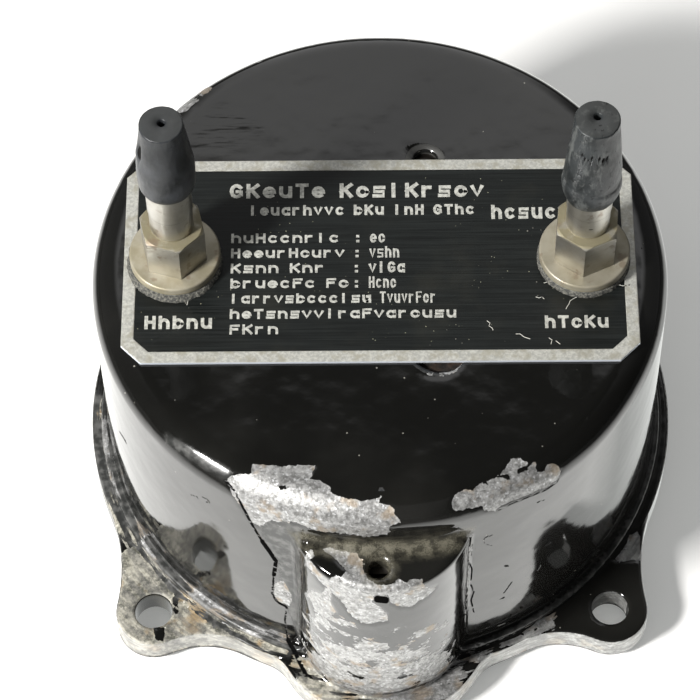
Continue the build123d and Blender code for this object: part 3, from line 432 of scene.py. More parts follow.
# Where the enamel is flaky: outline, share of bare metal, and the width of its soft edge in pixels. A share
# near one also lightens the bare metal, which on the two flange patches at the end is painted light.
flaky_zones = [
    (spots(298, 612, 330, 606, 360, 622, 400, 630, 452, 612, 456, 640, 450, 710, 300, 710), 0.46, 20),
    (spots(290, 655, 330, 635, 430, 645, 470, 660, 470, 720, 285, 720), 0.66, 24),
    (spots(92, 375, 108, 375, 118, 470, 140, 545, 112, 560, 98, 480), 0.42, 5),
    (spots(116, 470, 150, 545, 200, 590, 290, 634, 290, 656, 230, 645, 160, 600), 0.50, 6),
    (spots(250, 500, 284, 522, 290, 560, 276, 566, 262, 540), 0.22, 8),
    (spots(462, 640, 480, 625, 560, 610, 560, 640, 470, 690), 0.40, 8),
    (spots(170, 440, 208, 459, 224, 466, 236, 482, 226, 484, 205, 466, 172, 446), 0.16, 2),
    (spots(174, 108, 206, 84, 212, 92, 180, 116), 0.66, 3),
    (spots(250, 58, 262, 56, 264, 62, 252, 66), 0.50, 3),
    (spots(96, 195, 118, 140, 130, 128, 124, 150, 104, 200), 0.45, 4),
    (spots(576, 106, 580, 104, 584, 108, 580, 112), 0.5, 2),
    (flange_patch_right, 0.95, 1), (flange_patch_front, 0.95, 1),
]
# Thin dark cracks of the enamel: line and half width in pixels.
enamel_cracks = [
    (spots(225, 480, 234, 491, 240, 503, 250, 521, 262, 541, 270, 552, 276, 561), 1.0),
    (spots(262, 541, 270, 552, 276, 561, 274, 575), 1.9), (spots(377, 599, 386, 600), 3.2),
    (spots(274, 575, 272, 594, 277, 602, 287, 607, 285, 621, 288, 640), 0.8),
    (spots(288, 640, 294, 650, 306, 675), 2.0),
    (spots(497, 511, 513, 503, 531, 496, 546, 490, 557, 482, 561, 474), 0.4),
    (spots(191, 495, 196, 496, 199, 499), 0.3), (spots(202, 497, 207, 499, 210, 503, 206, 502), 0.3),
    (spots(119, 431, 123, 437, 127, 444), 0.25), (spots(536, 503, 541, 501, 545, 500), 0.3),
    (spots(494, 535, 486, 537, 483, 541, 486, 545, 492, 545), 0.4),
    (spots(504, 593, 509, 586, 512, 582), 0.4),
    (spots(500, 600, 505, 597), 0.4), (spots(546, 545, 551, 542), 0.4), (spots(505, 566, 508, 566), 0.8),
    (spots(537, 571, 541, 565), 0.4), (spots(471, 585, 474, 592, 471, 600, 474, 612), 0.6),
    (spots(468, 560, 472, 569, 471, 580), 0.6),
]
# Places where the enamel keeps its grey undercoat only; the last zone, along the left front rim, is a painted
# highlight, grey where the rim's gleam falls.
thin_enamel = [
    (spots(236, 500, 300, 525, 300, 640, 286, 608, 276, 561, 250, 521), 3),
    (spots(499, 507, 526, 496, 557, 480, 562, 476, 546, 490, 513, 504), 2),
    (left_foot, 5), (spots(166, 435, 200, 455, 229, 470, 233, 480, 222, 478, 196, 462, 166, 442), 7),
]
places = np.array([v.co for v in casting.verts])
facing = np.array([v.normal.dot(eye - v.co) > 0 and not hidden_inside(v.co) for v in casting.verts])
pixels = photo_pixels(places)
far_off = 9.0


def inside_share(outline, softness):
    """How far each point lies inside an outline, from 0 to 1 across its soft edge in pixels."""
    return np.clip(0.5 - outline_distance(pixels, outline) / softness, 0, 1)


bare_gap = np.full(len(places), far_off)
for outline in bare_patches:
    bare_gap = np.minimum(bare_gap, outline_distance(pixels, outline) / px_per_mm)
for outline in enamel_islands:
    bare_gap = np.maximum(bare_gap, -outline_distance(pixels, outline) / px_per_mm)
flaky = np.zeros(len(places))
for outline, share, softness in flaky_zones:
    flaky = np.maximum(flaky, share * inside_share(outline, softness))
crack_gap = np.full(len(places), far_off)
for line, half_width in enamel_cracks:
    crack_gap = np.minimum(crack_gap, (line_distance(pixels, line) - half_width) / px_per_mm)
undercoat_and_painted_sheen = np.zeros(len(places))
for outline, softness in thin_enamel:
    undercoat_and_painted_sheen = np.maximum(undercoat_and_painted_sheen, inside_share(outline, softness))
# Painted reflection: the rounded bead edge is made partly undercoat grey, as the gleam a rounder bead would
# show.
painted_bead_sheen = np.abs(places[:, 2] - bead_top_z + bead_edge_r / 2) < 0.6 * bead_edge_r
painted_bead_sheen &= np.hypot(places[:, 0], places[:, 1]) > bead_r - 1.1 * bead_edge_r
undercoat_and_painted_sheen = np.maximum(undercoat_and_painted_sheen, painted_bead_sheen * 0.6)
for values, hidden in ((undercoat_and_painted_sheen, 0.0), (bare_gap, far_off), (flaky, 0.0), (crack_gap, far_off)):
    values[~facing] = hidden
# The left side of the drum wall keeps its enamel: the zones of the flange reach over its far side.
wall_low_z, wall_high_z = 5.8 * mm, 38 * mm
left_wall = (places[:, 0] < -16 * mm) & (places[:, 2] > wall_low_z) & (places[:, 2] < wall_high_z)
flaky[left_wall] = 0.0
undercoat_and_painted_sheen[left_wall] = 0.0
# Around the flange the enamel has gone from its edge, in patches behind and wholly in front.
worn_from_behind = 0.34
for index, vert in enumerate(casting.verts):
    outer = math.hypot(vert.co.x, vert.co.y) > bead_r - 0.2 * mm
    if outer and 0.2 * mm < vert.co.z < 6 * mm:
        patchy = noise.noise(vert.co * 90) * 0.5 + 0.5
        upright = vert.normal.y < -0.3 and abs(vert.normal.z) < 0.6
        if vert.co.y > 0:
            flaky[index] = max(flaky[index], worn_from_behind * min(1.0, patchy * 1.4))
        if upright and vert.co.z < 4.1 * mm and vert.co.y < -20 * mm:
            flaky[index] = max(flaky[index], 0.95)
ringed = np.clip(1 - (places[:, 2] - 6.2 * mm) / (1.0 * mm), 0, 1)
grimy = np.clip((5.0 * mm - places[:, 2]) / (0.6 * mm), 0, 1) * (places[:, 0] < 0)
hole_x, hole_y = -0.5 * mm, -43.0 * mm
ear_hole_gap = np.hypot(places[:, 0] + ear_place, places[:, 1] + ear_place)
in_ear_hole = (ear_hole_gap < 2.75 * mm) & (places[:, 2] < 4.0 * mm)
bare_gap[in_ear_hole] = far_off
flaky[in_ear_hole] = 0.0
cove_gap = np.hypot(places[:, 0], places[:, 1]) - drum_r
dusty = np.clip(1.25 - np.abs(cove_gap - 0.6 * mm) / (1.5 * mm), 0, 1) * (places[:, 1] < boss_y + 2 * mm)
dusty *= np.clip(1 - np.abs(places[:, 2] - boss_top_z - 0.4 * mm) / (1.6 * mm), 0, 1)
dusty *= np.abs(places[:, 0]) < 12.5 * mm
hole_gap = np.hypot(places[:, 0] - hole_x, places[:, 1] - hole_y)
dusty = np.maximum(dusty, np.clip(1.3 - hole_gap / (2.4 * mm), 0, 1) * (places[:, 2] > 30 * mm))
dusty = np.maximum(dusty, in_ear_hole * 0.22)
for index, vert in enumerate(casting.verts):
    if facing[index]:
        sunk = min(max(0.5 - bare_gap[index] / 0.5, 0.0), 1.0)
        vert.co -= vert.normal * enamel_t * sunk
        vert.co += vert.normal * noise.noise(vert.co * 120) * 0.03 * mm

sagging = spots(196, 100, 250, 104, 262, 128, 225, 152, 186, 150)
rim_dents = spots(150, 424, 200, 452, 230, 468, 232, 484, 196, 462, 150, 438)
wrinkled = np.maximum(inside_share(sagging, 24), inside_share(rim_dents, 6))
wrinkled[~facing] = 0.0

# The thick enamel stands in over the edge of the upper screw hole.
screw_hole = Vector((6.46 * mm, 16.91 * mm))
enamel_run = Vector((0, 0.45 * mm))
drawn_in = 0.18
drawn_depth = 2.2 * mm
drawn_r = 3.4 * mm
for vert in casting.verts:
    out = vert.co.xy - screw_hole
    if vert.co.z > back_z - drawn_depth and out.length < drawn_r:
        vert.co.xy -= (out * drawn_in + enamel_run) * min(1.0, (drawn_r - out.length) / (0.5 * mm))

case_mesh = bpy.data.meshes.new("case_casting")
casting.to_mesh(case_mesh)
casting.free()
for name, values in (
    ("bare_gap", bare_gap), ("flaky", flaky), ("crack_gap", crack_gap), ("dusty", dusty),
    ("ringed", ringed), ("grimy", grimy), ("undercoat_and_painted_sheen", undercoat_and_painted_sheen), ("wrinkled", wrinkled),
):
    layer = case_mesh.attributes.new(name, "FLOAT", "POINT")
    layer.data.foreach_set("value", values.astype(np.float32))
case_mesh.shade_smooth()
case_mesh.set_sharp_from_angle(angle=math.radians(32))
for face in case_mesh.polygons:
    if face.center.z < 0.05 * mm and face.normal.z < -0.99:
        face.use_smooth = False  # the machined front face stays a plain flat
case = new_object("case_casting", case_mesh)
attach(case, "case")
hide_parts("case_body")
even = case.modifiers.new("even_shading", "WEIGHTED_NORMAL")
even.keep_sharp = True


def close_up(scale, detail=3.0, stretch=None, roughness=0.55, place=None):
    """Grain of the given fineness, in features per metre, from 0 to 1."""
    place = place or here()
    if stretch:
        mapping = add("Mapping", place)
        mapping.inputs["Scale"].default_value = stretch
        place = mapping.outputs[0]
    return add("TexNoise", place, None, scale, detail, roughness).outputs[0]


def cell_distance(scale):
    """Distance to the nearest of scattered points, so many per metre."""
    return add("TexVoronoi", here(), None, scale).outputs["Distance"]


def around_axis(squeeze):
    """Places by radius, turn and height, with the turn shortened, so that marks run around the case."""
    x, y, z = (along(axis, here()) for axis in "XYZ")
    radius = span("LENGTH", add("CombineXYZ", x, y, 0.0).outputs[0])
    return add("CombineXYZ", radius, times(calc("ARCTAN2", x, y), squeeze), z).outputs[0]


def carried(name):
    """A value stored with the mesh."""
    return add("Attribute", attribute_name=name).outputs["Fac"]


def relief(height, depth, below=None):
    """Surface relief of a depth in metres, on top of another relief."""
    made = add("Bump")
    made.inputs["Distance"].default_value = depth
    tree.links.new(height, made.inputs["Height"])
    if below:
        tree.links.new(below, made.inputs["Normal"])
    return made.outputs[0]


def surface_of(colour, roughness, metallic=0.0, normal=None, ior=1.5):
    """The principled surface, whose inputs are sockets or plain values."""
    made = add("BsdfPrincipled")
    made.inputs["IOR"].default_value = ior
    inputs = {"Base Color": colour, "Roughness": roughness, "Metallic": metallic, "Normal": normal}
    for name, source in inputs.items():
        if isinstance(source, bpy.types.NodeSocket):
            tree.links.new(source, made.inputs[name])
        elif source is not None:
            made.inputs[name].default_value = (*source, 1.0) if name == "Base Color" else source
    tree.links.new(made.outputs[0], add("OutputMaterial").inputs[0])
    return made


material = new_material("enamel_flaked")
fine = close_up(1500, 4.0)
coarse = close_up(420, 3.0)
ragged = plus(times(minus(fine, 0.5), 0.7), carried("bare_gap"))
ragged = plus(times(minus(coarse, 0.5), 0.6), ragged)
patch = grade(ragged, -0.03, 0.03, 1.0, 0.0)
streaks = around_axis(0.006)
flakes = close_up(340, 8.0, (0.85, 0.9, 1.25), 0.62)
in_rings = carried("ringed")
flakes = mixed(in_rings, flakes, close_up(800, 5.0, None, 0.6, streaks))
share = carried("flaky")
level = plus(times(share, 0.50), 0.25)
gap = minus(flakes, level)
flake = grade(gap, -0.010, 0.010, 1.0, 0.0)
flake = times(flake, calc("GREATER_THAN", share, 0.02))
bare = larger(patch, flake)
crack = grade(carried("crack_gap"), -0.03, 0.05, 1.0, 0.0)
mottle = close_up(1300, 7.0, None, 0.75)
glint = grade(close_up(2300, 4.0), 0.54, 0.70, 0.0, 0.7)
stain = close_up(300)
metal = tint(grade(mottle, 0.34, 0.66), (0.17, 0.17, 0.165), (0.50, 0.50, 0.495))
metal = tint(glint, metal, (0.80, 0.81, 0.83))
metal = tint(grade(stain, 0.54, 0.66, 0.0, 0.6), metal, (0.34, 0.26, 0.17))
dirt = tint(grade(close_up(620, 7.0, None, 0.75), 0.38, 0.62), (0.07, 0.07, 0.055), (0.46, 0.44, 0.37))
dirt = tint(grade(close_up(210, 4.0), 0.52, 0.64, 0.0, 0.7), dirt, (0.36, 0.25, 0.12))
dirt = tint(grade(close_up(1500, 3.0), 0.66, 0.72), dirt, (0.80, 0.78, 0.70))
lines = close_up(1500, 4.0, None, 0.6, streaks)
metal = tint(carried("grimy"), metal, dirt)
# Lighter metal where the share is near one: polish on the flange's front side, and painted light on the two
# flange patches at the right and front.
polish_and_painted_light = grade(share, 0.80, 0.95)
metal = tint(times(polish_and_painted_light, 0.5), metal, (0.55, 0.55, 0.53))
metal = tint(times(in_rings, grade(lines, 0.42, 0.60, 0.5, 0.0)), metal, (0.10, 0.10, 0.10))
speck = grade(cell_distance(420.0), 0.04, 0.065, 1.0, 0.0)
speck = times(speck, calc("GREATER_THAN", close_up(90), 0.50))
enamel = tint(times(speck, 0.6), (0.006, 0.006, 0.0055), (0.35, 0.34, 0.30))
# Painted light: a grey ring on the rounded edge of the upper screw hole, where the rim would catch the light;
# it is rougher too, so it keeps no lamp glint.
hole_edge = (*(screw_hole - enamel_run), back_z)
hole_rim_light_r = 2.3 * mm
painted_hole_rim_light = calc("ABSOLUTE", minus(span("DISTANCE", here(), hole_edge), hole_rim_light_r))
painted_hole_rim_light = grade(painted_hole_rim_light, 0.30 * mm, 0.60 * mm, 1.0, 0.0)
enamel = tint(times(painted_hole_rim_light, 0.40), enamel, (0.10, 0.10, 0.095))
haze = close_up(35, 4.0)
enamel = tint(grade(haze, 0.45, 0.75, 0.0, 0.02), enamel, (0.40, 0.39, 0.34))
undercoat = tint(grade(close_up(700, 4.0), 0.40, 0.66), (0.03, 0.031, 0.03), (0.10, 0.10, 0.097))
# Undercoat grey where the enamel is thin; the same share also paints the sheen on the bead edge and the
# highlight on the left rim.
undercoat_sheen_share = carried("undercoat_and_painted_sheen")
enamel = tint(undercoat_sheen_share, enamel, undercoat)
colour = tint(bare, enamel, metal)
colour = tint(crack, colour, (0.004, 0.004, 0.004))
dust = times(carried("dusty"), grade(close_up(6500, 4.0), 0.25, 0.75, 0.35, 1.0))
dust = times(dust, grade(close_up(520, 5.0), 0.34, 0.62, 0.15, 1.0))
colour = tint(dust, colour, (0.20, 0.185, 0.135))
gloss = grade(haze, 0.3, 0.75, 0.045, 0.11)
rough = plus(times(bare, grade(mottle, 0.3, 0.7, 0.36, 0.48)), gloss)
rough = plus(rough, times(undercoat_sheen_share, 0.22))
rough = plus(rough, times(plus(dust, painted_hole_rim_light), 0.6))
grime_dull = times(larger(dust, carried("grimy")), 0.55)
sheen = times(bare, minus(0.62, grime_dull))
sheen = times(sheen, minus(1.0, crack))
faded = larger(crack, times(undercoat_sheen_share, 0.62))
wavy = relief(close_up(130, 2.0), 0.10 * mm)
wavy = relief(close_up(700, 2.0), 0.006 * mm, wavy)
layered = relief(minus(1.0, bare), enamel_t, wavy)
pitted = relief(times(mottle, bare), 0.10 * mm, layered)
sagged = close_up(260, 3.0, (0.35, 1.6, 1.0))
pitted = relief(times(sagged, carried("wrinkled")), 0.07 * mm, pitted)
pitted = relief(minus(1.0, crack), 0.10 * mm, pitted)
coat = surface_of(colour, rough, sheen, pitted, 1.6)
tree.links.new(times(minus(1.0, faded), 0.5), coat.inputs["Specular IOR Level"])
case_mesh.materials.append(material)

# Screws, plug and name plate: steel screws hold the movement to the back, a wax plug closes the
# adjusting hole. The aluminium plate is etched, with a black field inside its bare border.


def finish(material, *names):
    """Gives nodes of the frame a finish."""
    for name in names:
        for holder in nodes[name].material_slots:
            holder.material = material


def plain_metal(name, colour, dull, roughness, metallic=1.0, stretch=None, marks=900, depth=0.01):
    """A worked metal with fine marks, stains and uneven polish."""
    material = new_material(name)
    marks_seen = close_up(marks, 4.0, stretch)
    stains = close_up(150, 4.0)
    shade = tint(grade(stains, 0.4, 0.7), colour, dull)
    shade = tint(grade(marks_seen, 0.3, 0.7, 0.0, 0.35), shade, dull)
    rough = plus(grade(marks_seen, 0.3, 0.7, -0.06, 0.08), roughness)
    normal = relief(marks_seen, depth * mm)
    surface_of(shade, rough, metallic, normal)
    return material


def grained(name, grain, dark, light, roughness, depth, spread=None, metallic=0.0):
    """A plain material: two colours by one grain, which is its relief as well, in millimetres."""
    material = new_material(name)
    seen = close_up(*grain)
    factor = grade(seen, *spread) if spread else seen
    surface_of(tint(factor, dark, light), roughness, metallic, relief(seen, depth * mm))
    return material


dark_steel = plain_metal("dark_steel", (0.20, 0.19, 0.18), (0.07, 0.06, 0.05), 0.38)
finish(dark_steel, "frame_screws", "boss_grub_screw", "bridge_screws", "pillar_screws", "dial_screws")
wax_dark, wax_light = (0.004, 0.003, 0.002), (0.024, 0.013, 0.007)
sealing_wax = grained("sealing_wax", (900, 4.0), wax_dark, wax_light, 0.75, 0.3, (0.35, 0.65))
finish(sealing_wax, "access_plug")

material = new_material("plate_border")
scuff = close_up(2600, 5.0, None, 0.7)
blotch = close_up(700, 5.0)
metal = tint(grade(scuff, 0.35, 0.65), (0.40, 0.40, 0.37), (0.60, 0.60, 0.55))
metal = tint(grade(blotch, 0.46, 0.66, 0.0, 0.7), metal, (0.36, 0.34, 0.27))
edge = add("Bevel", 0.25 * mm, samples=4).outputs[0]
# Painted reflection: the plate's edge faces, turned away from up, are tinted pale blue like a mirrored sky.
painted_light_tilt = along("Z", add("NewGeometry").outputs["Normal"])
metal = tint(grade(painted_light_tilt, 0.3, 0.9, 0.8, 0.0), metal, (0.80, 0.86, 0.95))
surface_of(metal, grade(scuff, 0.3, 0.7, 0.34, 0.5), 0.35, relief(scuff, 0.03 * mm, edge))
finish(material, "name_plate")

material = new_material("plate_field")
brushed = close_up(1600, 4.0, (0.05, 3.4, 1.0), 0.7)
worn = close_up(120, 4.0)
field = tint(grade(brushed, 0.35, 0.7), (0.004, 0.005, 0.0048), (0.013, 0.0155, 0.015))
field = tint(grade(worn, 0.5, 0.8, 0.0, 0.25), field, (0.040, 0.038, 0.028))
speck = grade(cell_distance(1100.0), 0.05, 0.09, 1.0, 0.0)
speck = times(speck, grade(close_up(140, 2.0), 0.52, 0.62))
field = tint(times(speck, 0.8), field, (0.42, 0.42, 0.30))
surface_of(field, grade(brushed, 0.3, 0.7, 0.36, 0.50), 0.0, relief(brushed, 0.012 * mm), 1.35)
finish(material, "plate_field")

# Print of the plate: raised bare metal left standing by the etching. Rows of letter-like strokes,
# as large as the print is, that say nothing.
plate_top_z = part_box("plate_field")[1].z
print_proud = 0.05 * mm
print_step = 0.004 * mm
letter_share = 0.80
space_share = 0.7
small_letter_share = 0.76
stroke_share = 0.28
narrow_stroke_share = 0.27
random.seed(52)


def arc(x, y, x_reach, y_reach, first_deg, last_deg, steps=8):
    """Points along part of an ellipse."""
    turns = [math.radians(first_deg + (last_deg - first_deg) * step / steps) for step in range(steps + 1)]
    return [(x + x_reach * math.cos(turn), y + y_reach * math.sin(turn)) for turn in turns]


# Strokes in a cell one wide and one high; a value over one is the part that only tall shapes have.
shoulder = arc(0.5, 0.55, 0.5, 0.45, 180, 0)
bowl = arc(0.5, 0.5, 0.5, 0.5, 0, 350, 14)
low_shapes = [
    [bowl],
    [[(0, 0), (0, 1)], shoulder + [(1, 0)]],
    [[(0, 1)] + arc(0.5, 0.45, 0.5, 0.45, 180, 360) + [(1, 1)], [(1, 0), (1, 1)]],
    [arc(0.5, 0.5, 0.5, 0.5, 50, 310, 10)],
    [[(0, 0), (0, 1)], arc(0.55, 0.5, 0.55, 0.48, 180, 75, 5)],
    [arc(0.5, 0.5, 0.5, 0.5, 0, 310, 10), [(0, 0.5), (1, 0.5)]],
    [[(0, 1), (0.5, 0), (1, 1)]],
    [[(1, 1), (0, 1), (0, 0.5), (1, 0.5), (1, 0), (0, 0)]],
    [[(1, 0), (1, 1)], bowl],
]
tall_shapes = [
    [[(0, 0), (0, 1.32)], bowl],
    [[(0.3, 0), (0.3, 1.32)]],
    [[(0, 0), (0, 1.32)], shoulder + [(1, 0)]],
    [[(0, 0), (0, 1.32)], [(1, 0), (1, 1.32)], [(0, 0.7), (1, 0.7)]],
    [arc(0.5, 0.66, 0.55, 0.66, 40, 320, 12), [(0.6, 0.6), (1.0, 0.6), (1.0, 0.25)]],
    [[(0, 0), (0, 1.32), (1, 1.32)], [(0, 0.7), (0.8, 0.7)]],
    [[(0.5, 0), (0.5, 1.32)], [(0, 1.32), (1, 1.32)]],
    [[(0, 0), (0, 1.32)], [(0, 0.55), (1, 1.32)], [(0.35, 0.8), (1, 0)]],
]


def print_stroke(made, points, width, lift=0.0):
    """A raised line of even width along a path."""
    rows = []
    proud = print_proud + lift
    for index, point in enumerate(points):
        before = Vector(points[max(index - 1, 0)])
        after = Vector(points[min(index + 1, len(points) - 1)])
        run = (after - before).normalized()
        across = Vector((-run.y, run.x)) * width / 2
        reach = run * width / 2 * ((index == len(points) - 1) - (index == 0))
        row = []
        for side, z in ((1, proud), (-1, proud), (-1, -print_proud), (1, -print_proud)):
            spot = Vector(point) + across * side + reach
            row.append(made.verts.new((spot.x, spot.y, plate_top_z + z)))
        rows.append(row)
    for low, high in zip(rows[:-1], rows[1:]):
        for a, b in ((0, 1), (1, 2), (2, 3), (3, 0)):
            made.faces.new((low[b], low[a], high[a], high[b]))
    made.faces.new(rows[0])
    made.faces.new(list(reversed(rows[-1])))


def print_row(made, left, right_end, low, high, words, first_tall=True):
    """Shapes of a row in groups as long as words; some are tall, the others as high as small letters."""
    pitch = (right_end - left) / (sum(words) + space_share * (len(words) - 1))
    small = (high - low) * small_letter_share
    stroke = min(small * stroke_share, pitch * narrow_stroke_share)
    at = left
    for word in words:
        for place_in_word in range(word):
            tall = (first_tall and place_in_word == 0) or random.random() < 0.22
            shape = random.choice(tall_shapes if tall else low_shapes)
            cell_w = pitch * letter_share - stroke
            for step, path in enumerate(shape):
                points = [(at + stroke / 2 + x * cell_w, low + stroke / 2 + y * (small - stroke))
                          for x, y in path]
                print_stroke(made, [(x * mm, y * mm) for x, y in points], stroke * mm, step * print_step)
            at += pitch
        at += pitch * space_share


def as_piece(made, name, body, slot, sharp_deg, material, *replaced):
    """Makes the finished mesh a piece of the part."""
    mesh = bpy.data.meshes.new(name)
    bmesh.ops.recalc_face_normals(made, faces=made.faces[:])
    made.to_mesh(mesh)
    made.free()
    mesh.shade_smooth()
    mesh.set_sharp_from_angle(angle=math.radians(sharp_deg))
    mesh.materials.append(material)
    piece = new_object(name, mesh)
    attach(piece, body)
    if replaced:
        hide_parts(*replaced)


letters = bmesh.new()
for row in (
    (-20.6, 14.9, 9.95, 12.5, [6, 9]), (-17.9, 13.4, 7.1, 8.9, [9, 3, 3, 4]), (15.4, 26.5, 6.3, 8.75, [6]),
    (-31.8, -22.3, -10.95, -8.75, [5]), (22.2, 31.1, -11.2, -9.1, [5]),
):
    print_row(letters, *row)
row_pitch = 2.42
row_ends = [(-5.2, [9]), (-4.5, [10]), (-7.1, [4, 3]), (-3.9, [7, 2]), (-0.9, [13]), (10.6, [19])]
row_ends.append((-13.4, [4]))
for row, (end, words) in enumerate(row_ends):
    row_low = 2.65 - row * row_pitch
    print_row(letters, -20.3, end, row_low, row_low + 1.65, words)
value_ends = [(-1.3, 1.0, [2]), (-1.4, 2.9, [4]), (-1.5, 3.7, [4]), (-1.5, 2.4, [4]), (0.0, 7.8, [8])]
for row, (start, end, words) in enumerate(value_ends):
    row_low = 2.6 - row * row_pitch
    print_row(letters, start, end, row_low, row_low + 1.9, words, False)
    for dot_y in (0.25, 1.05):
        dot = [((start - 1.7) * mm, (row_low + dot_y) * mm), ((start - 1.65) * mm, (row_low + dot_y) * mm)]
        print_stroke(letters, dot, 0.38 * mm)
worn_low, worn_high = (0.36, 0.36, 0.33), (0.60, 0.60, 0.55)
print_metal = grained("print_metal", (2200, 4.0), worn_low, worn_high, 0.42, 0.02, (0.35, 0.65), 0.2)
as_piece(letters, "plate_lettering", "case", "bare_aluminium", 30, print_metal, "plate_print")

# Hose fittings: turned nickel-plated brass with a hexagon, a neck, a collar and a barbed nipple.
# Each clamps a plated washer on a soft fibre ring, and a thin nut holds it from inside.
fitting_x = 27.85 * mm
hexagon_top_z = 55.6 * mm
collar_low_z = 59.9 * mm
neck_slot = Vector((28.03, -2.94, 57.95)) * mm


def plated(name, grimy_low, grimy_high, light, dull, ring_depth, shine, roughness):
    """Dull warm nickel with turning marks around its axis and yellow grime between two heights, with painted
    shade on faces turned to the right and on the right-hand fitting below the hexagon's top, and a painted
    dark slot on the right neck.
    """
    material = new_material(name)
    place = here()
    height = along("Z", place)
    rings = close_up(300, 2.0, (0.02, 0.02, 12.0))
    cloudy = close_up(260, 4.0)
    plate = tint(grade(cloudy, 0.38, 0.68), light, dull)
    above = grade(height, grimy_low, grimy_low + 0.4 * mm)
    grime = times(above, grade(height, grimy_high - 0.4 * mm, grimy_high, 1.0, 0.0))
    grime = times(grime, grade(close_up(500, 4.0), 0.25, 0.50, 0.4, 1.0))
    plate = tint(times(grime, 0.9), plate, (0.20, 0.175, 0.10))
    spots = grade(close_up(420, 5.0), 0.58, 0.68, 0.0, 0.6)
    plate = tint(spots, plate, (0.20, 0.14, 0.09))
    # Painted shade: below the hexagon's top, faces turned to the right, and all of the right-hand fitting,
    # are darker.
    side = along("X", add("NewGeometry").outputs["Normal"])
    across = along("X", place)
    painted_right_shade = plus(grade(side, 0.1, 0.7, 0.0, 0.45), grade(across, 0.0, 0.001, 0.0, 0.25))
    painted_right_shade = times(painted_right_shade, grade(height, hexagon_top_z - 0.8 * mm, hexagon_top_z, 1.0, 0.0))
    plate = tint(painted_right_shade, plate, (0.13, 0.12, 0.095))
    off_step = calc("ABSOLUTE", minus(height, collar_low_z))
    plate = tint(grade(off_step, 0.04 * mm, 0.10 * mm, 0.6, 0.0), plate, (0.14, 0.12, 0.10))
    rough = plus(grade(cloudy, 0.3, 0.7, -0.04, 0.05), roughness)
    rough = plus(rough, times(grime, 0.25))
    # Painted shade: a small black spot on the front of the right neck, dark as the shaded inside of a slot.
    flat_place = add("Mapping", place)
    flat_place.inputs["Scale"].default_value = (1.0, 0.2, 3.0)
    slot = Vector((neck_slot.x, neck_slot.y * 0.2, neck_slot.z * 3.0))
    slot_shade_gap = span("DISTANCE", flat_place.outputs[0], slot)
    plate = tint(grade(slot_shade_gap, 0.25 * mm, 0.36 * mm, 1.0, 0.0), plate, (0.01, 0.01, 0.01))
    edge = add("Bevel", 0.10 * mm, samples=4).outputs[0]
    sheen = minus(shine, times(grime, shine * 0.7))
    surface_of(plate, rough, sheen, relief(rings, ring_depth * mm, edge))
    return material


grimy_from, grimy_to = hexagon_top_z - 0.5 * mm, hexagon_top_z + 0.6 * mm
light, dull = (0.50, 0.485, 0.44), (0.40, 0.377, 0.32)
nickel = plated("nickel_plate", grimy_from, grimy_to, light, dull, 0.010, 0.92, 0.33)
finish(nickel, "static_fitting", "flask_fitting", "fitting_nuts")
fluff = (2400, 5.0, None, 0.7)
fibre = grained("grey_fibre", fluff, (0.05, 0.05, 0.045), (0.30, 0.30, 0.27), 0.85, 0.2, (0.3, 0.7))
finish(fibre, "sealing_rings")


def lathe(made, x, section, uneven=None, turns=96):
    """Turns a closed section of radius and height, in millimetres, about a fitting's axis."""
    rings = []
    for radius, height in section:
        ring = []
        for turn in range(turns):
            angle = 2 * math.pi * turn / turns
            spot = Vector((radius * math.cos(angle), radius * math.sin(angle), height))
            if uneven:
                spot = uneven(spot, angle)
            ring.append(made.verts.new((x + spot.x * mm, spot.y * mm, spot.z * mm)))
        rings.append(ring)
    for low, high in zip(rings, rings[1:] + rings[:1]):
        for turn in range(turns):
            after = (turn + 1) % turns
            made.faces.new((low[turn], low[after], high[after], high[turn]))


washer_low, washer_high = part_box("fitting_washers")
low, high = washer_low.z / mm, washer_high.z / mm
washer_r = 6.2
washer_bore_r = 3.05
washer_round = 0.3
washers = bmesh.new()
washer_section = [(washer_bore_r, high), (washer_bore_r, low), (washer_r - 0.1, low), (washer_r, low + 0.1)]
washer_section += arc(washer_r - washer_round, high - washer_round, washer_round, washer_round, 0, 90, 6)
for x in (-fitting_x, fitting_x):
    lathe(washers, x, washer_section)
grimy_from, grimy_to = washer_low.z - 0.5 * mm, washer_low.z + 0.5 * mm
light, dull = (0.40, 0.37, 0.29), (0.29, 0.26, 0.18)
washer_finish = plated("washer_plate", grimy_from, grimy_to, light, dull, 0.004, 0.35, 0.42)
as_piece(washers, "washers_rounded", "case", "nickel_plate", 35, washer_finish, "fitting_washers")

# Rubber caps: moulded, slightly conical, bulged where they are stretched over the collar, with a
# pin hole in the roof. The rubber has hardened, bloomed grey, and is torn in places.
collar_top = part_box("static_fitting")[1].z / mm - 8.0
cap_bore_r = 2.36
cap_mouth_r = 3.11
pin_hole_r = 0.5


def eased(points, steps=4):
    """A smooth line through the given points of a section."""
    line = []
    for index in range(len(points) - 1):
        before = Vector(points[max(index - 1, 0)])
        start, end = Vector(points[index]), Vector(points[index + 1])
        after = Vector(points[min(index + 2, len(points) - 1)])
        for step in range(steps):
            share = step / steps
            curve = (end - before) / 2 * (share - 2 * share**2 + share**3)
            curve += (after - start) / 2 * (share**3 - share**2)
            blend = 3 * share**2 - 2 * share**3
            line.append(tuple(start + (end - start) * blend + curve))
    return line + [points[-1]]


def cap_section(skin, top_r, top_z):
    """Closed section of a cap: outer skin, flat roof, pin hole, bore and mouth."""
    roof = arc(top_r - 0.22, top_z - 0.22, 0.22, 0.22, 10, 90, 3)
    roof += [(top_r * 0.6, top_z - 0.01), (pin_hole_r + 0.12, top_z - 0.02), (pin_hole_r, top_z - 0.15)]
    inside = [(pin_hole_r, collar_top + 9.0), (cap_bore_r, collar_top + 9.0), (cap_bore_r, collar_top + 0.5)]
    return eased(skin) + roof + inside + [(cap_mouth_r, collar_top + 0.5), (cap_mouth_r, skin[0][1] + 0.02)]


